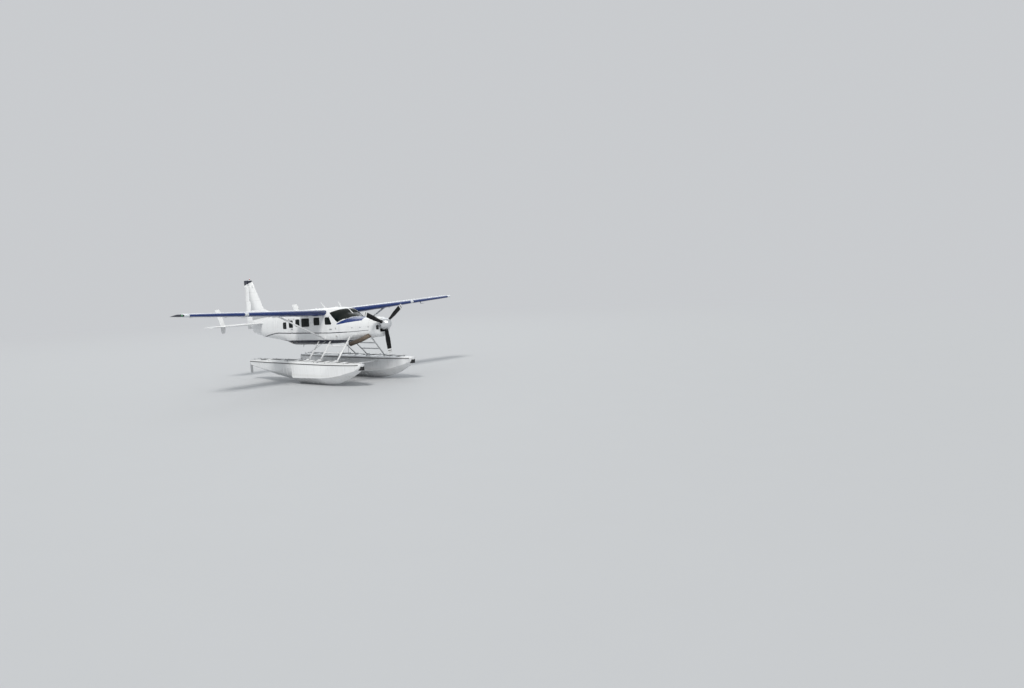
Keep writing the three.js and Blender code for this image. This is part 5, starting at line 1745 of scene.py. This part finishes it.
class FLOATPLANE_OT_rigging(bpy.types.Operator):
    """Makes the brace stays, strut foot plates, clamps, water rudder cables, horns and pulleys"""

    bl_idname = "floatplane.rigging"
    bl_label = "Rigging"

    def execute(self, context):
        stay = settings("fitting").stay_radius
        for hand, side in HANDS:
            bm = bmesh.new()
            for _, foot in STRUTS.values():
                spot = vec(NOSE.x - foot[0], side * foot[1], 0)
                spot.z = deck_at(BOW - spot.x, side, side * spot.y - FLOAT_SIDE).z
                block(bm, spot + UP * 0.004, (0.24, 0.150, 0.020), round_off=0.006)
                block(bm, spot + UP * 0.030, (0.150, 0.080, 0.060), round_off=0.012, segments=3)
                for ahead in (-0.095, 0.095):
                    for out in (-0.055, 0.055):
                        button(bm, spot + vec(ahead, out, 0.013), UP, 0.011, 0.010, 6, 1.0)
            for name in ("spreader_front", "spreader_rear"):
                low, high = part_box(name)
                centre = (Vector(low) + Vector(high)) / 2
                thick = high[2] - low[2]
                end = (high[1] if side > 0 else low[1])
                for back in (0.02, 0.10):
                    loft(bm, [foil(vec(centre.x, end - side * (back + step), centre.z), AHEAD, UP,
                                   (high[0] - low[0]) * 1.10, thick * 1.12, 20) for step in (0.0, 0.035)])
            piece("strut_feet_" + hand, bm, plain_paint(), stand=False, crease=40)

            bm = bmesh.new()
            top, foot = vec(NOSE.x - 3.91, side * 0.70, 1.930), vec(NOSE.x - 4.97, side * 1.49, 1.110)
            bar(bm, top, foot, stay)
            for spot, toward in ((top, foot), (foot, top)):
                way = (toward - spot).normalized()
                bar(bm, spot + way * 0.02, spot + way * 0.14, stay * 1.7, stay * 1.4, 10)
                ball(bm, spot, (0.040, 0.030, 0.040), 12)
            for reach in (0.10, -0.10):
                path = [deck_at(behind, side, reach, 0.030) for behind in (4.7, 5.6, 6.6, 7.6, 8.2)]
                path.append(vec(BOW - RUDDER_POST, side * FLOAT_SIDE + side * reach, 0.930))
                tube(bm, path, 0.0035, 6)
                for spot in path[:-1]:
                    block(bm, spot - UP * 0.014, (0.05, 0.022, 0.034), round_off=0.005)
                    hoop(bm, spot + UP * 0.004, PORT, 0.014, 0.005, 14, 6)
            piece("stays_" + hand, bm, bare_metal(), stand=False, crease=40)
            bm = bmesh.new()
            post = vec(BOW - RUDDER_POST, side * FLOAT_SIDE, 0)
            block(bm, post + UP * 0.922, (0.045, 0.235, 0.012), round_off=0.004)
            bar(bm, post + UP * 0.896, post + UP * 0.935, 0.022, 0.018, 14)
            for height in (0.42, 0.58, 0.72):
                block(bm, post + vec(-0.135, 0, height), (0.155, 0.026, 0.018), round_off=0.004)
            piece("rudder_horn_" + hand, bm, bare_metal(), "water_rudder_" + hand, stand=False)
        bm = bmesh.new()
        for side in (1, -1):
            spot = at_side(3.905, -0.61, side)
            hoop(bm, spot + vec(0, side * 0.02, -0.02), AHEAD, 0.024, 0.006, 20)
            spot = on_wing(side * 3.62, 0.22, False)
            hoop(bm, spot + vec(0, 0, -0.022), AHEAD, 0.026, 0.006, 20)
        piece("tie_down_rings", bm, bare_metal())
        return {"FINISHED"}


# Seats and cockpit

# Seats: station of the front edge, side and width, crew first
CREW_SEATS = [(3.290, 0.380, 0.470), (3.290, -0.380, 0.470)]
CABIN_SEATS = [(station, side, 0.440) for station in (4.300, 5.150, 6.000) for side in (0.390, -0.390)]
# Pads: outline (station, height), part of the seat's width, rounding of the edges
PAD_SHAPES = {
    "cushion": ([(-0.05, -0.328), (-0.052, -0.215), (0.2, -0.222), (0.385, -0.24), (0.385, -0.328)],
                0.96, 0.034),
    "back": ([(0.395, -0.25), (0.385, -0.06), (0.48, 0.232), (0.56, 0.232), (0.5, -0.25)], 0.95, 0.03),
    "headrest": ([(0.478, 0.26), (0.496, 0.39), (0.568, 0.39), (0.562, 0.26)], 0.52, 0.024),
}
VOXEL = 0.017
FILLING_CAP = 0.016


def pad(name, profile, station, side, width, soft):
    """One stuffed pad: cut, evened, filled by a cloth simulation, then quilted."""
    bm = bmesh.new()
    place = Matrix.Translation((-station, side + width / 2, 0)) @ Matrix.Rotation(pi / 2, 4, "X")
    verts = slab(bm, [(-x, z) for x, z in profile], width, place)
    soften(bm, verts, soft, 4)
    made = piece(name, bm, seat_cloth(), crease=180)
    even = made.modifiers.new("Even skin", "REMESH")
    even.mode, even.voxel_size = "VOXEL", VOXEL
    graph = bpy.context.evaluated_depsgraph_get()
    skin = bpy.data.meshes.new_from_object(made.evaluated_get(graph))
    made.modifiers.clear()
    made.data = skin
    swell(made)
    skin = made.data
    ends = [x for x, _ in profile]
    rows = [min(ends) + (max(ends) - min(ends)) * t for t in (0.36, 0.68)] if "cushion" in name else []
    lines = [-0.13, 0.02, 0.13] if "back" in name else []
    for vert in skin.vertices:
        spot = LIE_DOWN @ vert.co
        near = [abs(-spot.x - station - row) for row in rows] + [abs(spot.z - line) for line in lines]
        if "headrest" not in name:
            near.append(abs(abs(spot.y - side) - width * 0.33))
        depth = sum(0.011 * exp(-(gap / 0.014) ** 2) for gap in near)
        vert.co -= vert.normal * min(depth, 0.013)
    skin.polygons.foreach_set("use_smooth", [True] * len(skin.polygons))
    return made


def swell(made):
    """Fills a pad by a cloth simulation with pressure, and limits how far its skin moves."""
    cloth = made.modifiers.new("Filling", "CLOTH")
    cloth.settings.use_pressure = True
    cloth.settings.uniform_pressure_force = 4.0
    cloth.settings.effector_weights.gravity = 0.0
    cloth.point_cache.frame_start, cloth.point_cache.frame_end = 1, 20
    for number in range(1, 21):
        bpy.context.scene.frame_set(number)
    filled = made.evaluated_get(bpy.context.evaluated_depsgraph_get())
    spots = [vert.co.copy() for vert in filled.data.vertices]
    made.modifiers.remove(cloth)
    for vert, spot in zip(made.data.vertices, spots):
        way = spot - vert.co
        vert.co += way * min(1.0, FILLING_CAP / max(way.length, 1e-9))
    bpy.context.scene.frame_set(1)


def on_pad(made, point, lift):
    """The nearest place on a pad, lifted off it, and the way out there, in the airframe's axes."""
    _, spot, normal, _ = made.closest_point_on_mesh(STAND_UP @ Vector(point))
    way = LIE_DOWN.to_3x3() @ normal
    return LIE_DOWN @ spot + way * lift, way


class FLOATPLANE_OT_seats(bpy.types.Operator):
    """Makes the seats: tubular frames, stuffed pads with piping, lap belts and floor rails"""

    bl_idname = "floatplane.seats"
    bl_label = "Seats"

    def execute(self, context):
        for kind, seats, node in (("crew", CREW_SEATS, "crew_seats"), ("cabin", CABIN_SEATS, "cabin_seats")):
            frames, piping, belts, buckles = bmesh.new(), bmesh.new(), bmesh.new(), bmesh.new()
            first_station, first_side, width = seats[0]
            pads = {}
            for name, (profile, share, soft) in PAD_SHAPES.items():
                pads[name] = pad(f"{name}_{kind}_0", profile, first_station, first_side, width * share, soft)
            for number, (station, side, _) in enumerate(seats):
                shift = STAND_UP.to_3x3() @ vec(first_station - station, side - first_side, 0)
                for name, made in pads.items():
                    if number:
                        copy = made.data.copy()
                        copy.transform(Matrix.Translation(shift))
                        made = bpy.data.objects.new(f"{name}_{kind}_{number}", copy)
                        context.scene.collection.objects.link(made)
                        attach(made, "airframe")
                    fine = made.modifiers.new("Fine skin", "SUBSURF")
                    fine.levels = fine.render_levels = 1
                self.frame(frames, station, side, width)
            for number, (station, side, _) in enumerate(seats):
                move = vec(first_station - station, side - first_side, 0)
                self.trim(piping, belts, buckles, pads, first_station, first_side, width, move)
            for side in sorted({side for _, side, _ in seats}):
                stations = [station for station, _, _ in seats]
                for out in (-0.15, 0.15):
                    block(frames, (-(min(stations) + max(stations)) / 2 - 0.2, side + out, -0.586),
                          (max(stations) - min(stations) + 0.56, 0.028, 0.018), round_off=0.003)
            made = piece(kind + "_seat_frames", frames, cast_metal(), crease=40)
            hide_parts(node)
            piece(kind + "_seat_piping", piping, dark_trim())
            piece(kind + "_seat_belts", belts, belt_webbing(), crease=60)
            piece(kind + "_belt_buckles", buckles, bare_metal())
        return {"FINISHED"}

    @staticmethod
    def frame(bm, station, side, width):
        """Legs, pan, back tubes and headrest posts of one seat."""
        half = width / 2 - 0.030

        def at(back, out, height):
            return vec(-station - back, side + out, height)

        block(bm, at(0.18, 0, -0.340), (0.46, width - 0.03, 0.016), round_off=0.006)
        block(bm, at(0.535, 0, -0.01), (0.012, width - 0.07, 0.44),
              Matrix.Rotation(radians(11), 4, "Y"), round_off=0.004)
        for out in (-1, 1):
            edge = out * half
            for near, far in ((0.03, 0.00), (0.37, 0.41)):
                bar(bm, at(near, out * 0.16, -0.342), at(far, out * 0.15, -0.580), 0.013)
                block(bm, at(far, out * 0.15, -0.578), (0.07, 0.045, 0.018), round_off=0.004)
            bar(bm, at(0.02, out * 0.15, -0.46), at(0.39, out * 0.15, -0.46), 0.009)
            tube(bm, curved([at(0.10, edge, -0.350), at(0.40, edge, -0.345), at(0.515, edge, -0.25),
                at(0.575, edge, 0.20)], 6), 0.012)
            button(bm, at(0.47, edge, -0.29), vec(0, out, 0), 0.038, 0.018, 20)
            bar(bm, at(0.522, out * 0.07, 0.20), at(0.530, out * 0.07, 0.30), 0.007)

    @staticmethod
    def trim(piping, belts, buckles, pads, station, side, width, move):
        """Piping round the pads, and a lap belt laid on the cushion."""
        half = width / 2
        rims = {"cushion": (-0.048, -0.222, 0.375, -0.238, 0.94),
            "back": (0.392, -0.235, 0.478, 0.225, 0.92)}
        for name, (near, low, far, high, share) in rims.items():
            points = [vec(-station - x, side + y * share * half, z) for x, y, z in ((near, -1, low),
                (near, 1, low), (far, 1, high), (far, -1, high))]
            line = eased(divided(points + points[:1], 0.022)[:-1], 6, closed=True)
            laid = [on_pad(pads[name], point, 0.002) for point in line]
            ring = eased([spot for spot, _ in laid], 2, closed=True)
            sweep(piping, [spot + move for spot in ring], [way for _, way in laid], circle(0.0048, 6),
                closed=True)
        for out in (-1, 1):
            hip = vec(-station - 0.33, side + out * (half + 0.004), -0.30)
            line = divided([hip, vec(-station - 0.32, side + out * (half - 0.01), -0.235),
                vec(-station - 0.22, side + out * 0.035, -0.205)], 0.025)
            laid = [on_pad(pads["cushion"], point, 0.004) for point in line]
            path = eased([spot for spot, _ in laid], 2)
            sweep(belts, [spot + move for spot in path], [way for _, way in laid],
                  [(-0.022, 0), (-0.022, 0.0025), (0.022, 0.0025), (0.022, 0)])
        spot, _ = on_pad(pads["cushion"], (-station - 0.22, side, -0.205), 0.012)
        block(buckles, spot + move, (0.052, 0.070, 0.018), round_off=0.005)
        block(buckles, spot + move + vec(0, 0.004, 0.011), (0.034, 0.036, 0.008), round_off=0.003)


class FLOATPLANE_OT_cockpit(bpy.types.Operator):
    """Makes the instruments, radios, glare shield, yokes, pedals, pedestal and levers"""

    bl_idname = "floatplane.cockpit"
    bl_label = "Cockpit"

    def execute(self, context):
        face, aft = -2.842, -AHEAD
        dials, rings, shield, knobs = bmesh.new(), bmesh.new(), bmesh.new(), bmesh.new()
        spots = [(side + out, height) for side in (0.38, -0.38) for out in (-0.11, 0.0, 0.11)
            for height in (0.055, -0.055)]
        spots += [(0.16, 0.055), (0.16, -0.055), (-0.15, 0.055)]
        for out, height in spots:
            spot = vec(face, out, height)
            button(dials, spot, aft, 0.041, 0.003, 28, 1.0)
            hoop(rings, spot + aft * 0.004, aft, 0.043, 0.0045, 28, 8)
            for k in range(12):
                turn = pi * k / 6
                mark = spot + aft * 0.0035 + vec(0, cos(turn), sin(turn)) * 0.033
                block(rings, mark, (0.001, 0.0022, 0.008), Matrix.Rotation(turn - pi / 2, 4, "X"))
            block(rings, spot + aft * 0.0045 + vec(0, 0.006, 0.009), (0.001, 0.003, 0.028),
                Matrix.Rotation(-0.6, 4, "X"))
        for k in range(5):
            centre = vec(face - 0.004, 0.005, 0.095 - 0.048 * k)
            block(dials, centre, (0.014, 0.165, 0.042), round_off=0.003)
            block(rings, centre + vec(-0.0075, 0.0, 0.004), (0.002, 0.10, 0.018), round_off=0.0008)
            for out in (-0.068, 0.068):
                button(knobs, centre + vec(-0.006, out, -0.002), aft, 0.009, 0.016, 12)
        for side in (0.38, -0.38):
            for k in range(9):
                button(knobs, vec(face, side - 0.16 + 0.04 * k, -0.155), aft, 0.005, 0.018, 8)
            bar(knobs, (face + 0.01, side, -0.110), (-3.045, side, -0.120), 0.014)
            wheel = [(0.0, -0.030), (0.090, -0.045), (0.150, -0.010), (0.160, 0.065), (0.135, 0.120)]
            for out in (1, -1):
                path = curved([(-3.050 - 0.02 * abs(y) / 0.16, side + out * y, -0.120 + z)
                    for y, z in wheel], 6)
                loft(knobs, round_rings(path, [0.011 + 0.005 * min(1, k / 12) for k in range(len(path))],
                    12))
            block(knobs, (-3.052, side, -0.140), (0.030, 0.085, 0.055), round_off=0.010)
            for out in (-0.075, 0.075):
                block(knobs, (-2.660, side + out, -0.450), (0.020, 0.085, 0.110),
                    Matrix.Rotation(0.35, 4, "Y"), round_off=0.006)
                bar(knobs, (-2.640, side + out, -0.50), (-2.560, side + out, -0.585), 0.009)
        block(shield, (-2.715, 0, 0.170), (0.330, 1.26, 0.026), round_off=0.011, segments=3)
        block(shield, (-2.885, 0, 0.166), (0.022, 1.26, 0.034), round_off=0.010, segments=3)
        block(shield, (-2.995, 0, -0.445), (0.300, 0.170, 0.300), round_off=0.020, segments=3)
        for k in range(4):
            out = -0.054 + 0.036 * k
            bar(knobs, (-2.965, out, -0.300), (-3.000 - 0.012 * k, out, -0.195), 0.005)
            ball(knobs, (-3.002 - 0.012 * k, out, -0.190), (0.026, 0.022, 0.030), 12)
            block(rings, (-2.975, out, -0.294), (0.100, 0.006, 0.003))
        piece("dial_faces", dials, lens("Dial black", (0.010, 0.011, 0.012)))
        piece("dial_rings", rings, plain_paint(), crease=40)
        piece("glare_shield", shield, dark_trim(), crease=40)
        piece("cockpit_controls", knobs, rubber(), crease=40)
        return {"FINISHED"}


OPERATORS = (FLOATPLANE_OT_stage, FLOATPLANE_OT_fuselage, FLOATPLANE_OT_surfaces, FLOATPLANE_OT_floats,
             FLOATPLANE_OT_power, FLOATPLANE_OT_cabin, FLOATPLANE_OT_windows, FLOATPLANE_OT_antennas,
             FLOATPLANE_OT_door_fittings, FLOATPLANE_OT_wing_fittings, FLOATPLANE_OT_cowl_fittings,
             FLOATPLANE_OT_propeller_fittings, FLOATPLANE_OT_tail_fittings, FLOATPLANE_OT_float_fittings,
             FLOATPLANE_OT_rigging, FLOATPLANE_OT_seats, FLOATPLANE_OT_cockpit)
GROUPS = {"paint": PaintSettings, "glass": GlassSettings, "fitting": FittingSettings, "cabin": CabinSettings,
          "stage": StageSettings}


class FLOATPLANE_PT_pieces(bpy.types.Panel):
    """Lists the pieces of the floatplane"""

    bl_idname = "FLOATPLANE_PT_pieces"
    bl_label = "Floatplane"
    bl_space_type = "VIEW_3D"
    bl_region_type = "UI"
    bl_category = "Floatplane"

    def draw(self, context):
        for name, kind in GROUPS.items():
            box = self.layout.box()
            box.label(text=name.capitalize())
            for key in kind.__annotations__:
                box.prop(getattr(context.scene, "floatplane_" + name), key)
        for operator in OPERATORS:
            self.layout.operator(operator.bl_idname)


def register():
    for kind in (*GROUPS.values(), *OPERATORS, FLOATPLANE_PT_pieces):
        bpy.utils.register_class(kind)
    for name, kind in GROUPS.items():
        setattr(bpy.types.Scene, "floatplane_" + name, PointerProperty(type=kind))


def unregister():
    for name in GROUPS:
        delattr(bpy.types.Scene, "floatplane_" + name)
    for kind in (FLOATPLANE_PT_pieces, *reversed(OPERATORS), *reversed(GROUPS.values())):
        bpy.utils.unregister_class(kind)


def main():
    register()
    for operator in OPERATORS:
        family, name = operator.bl_idname.split(".")
        getattr(getattr(bpy.ops, family), name)()


if __name__ == "__main__":
    main()
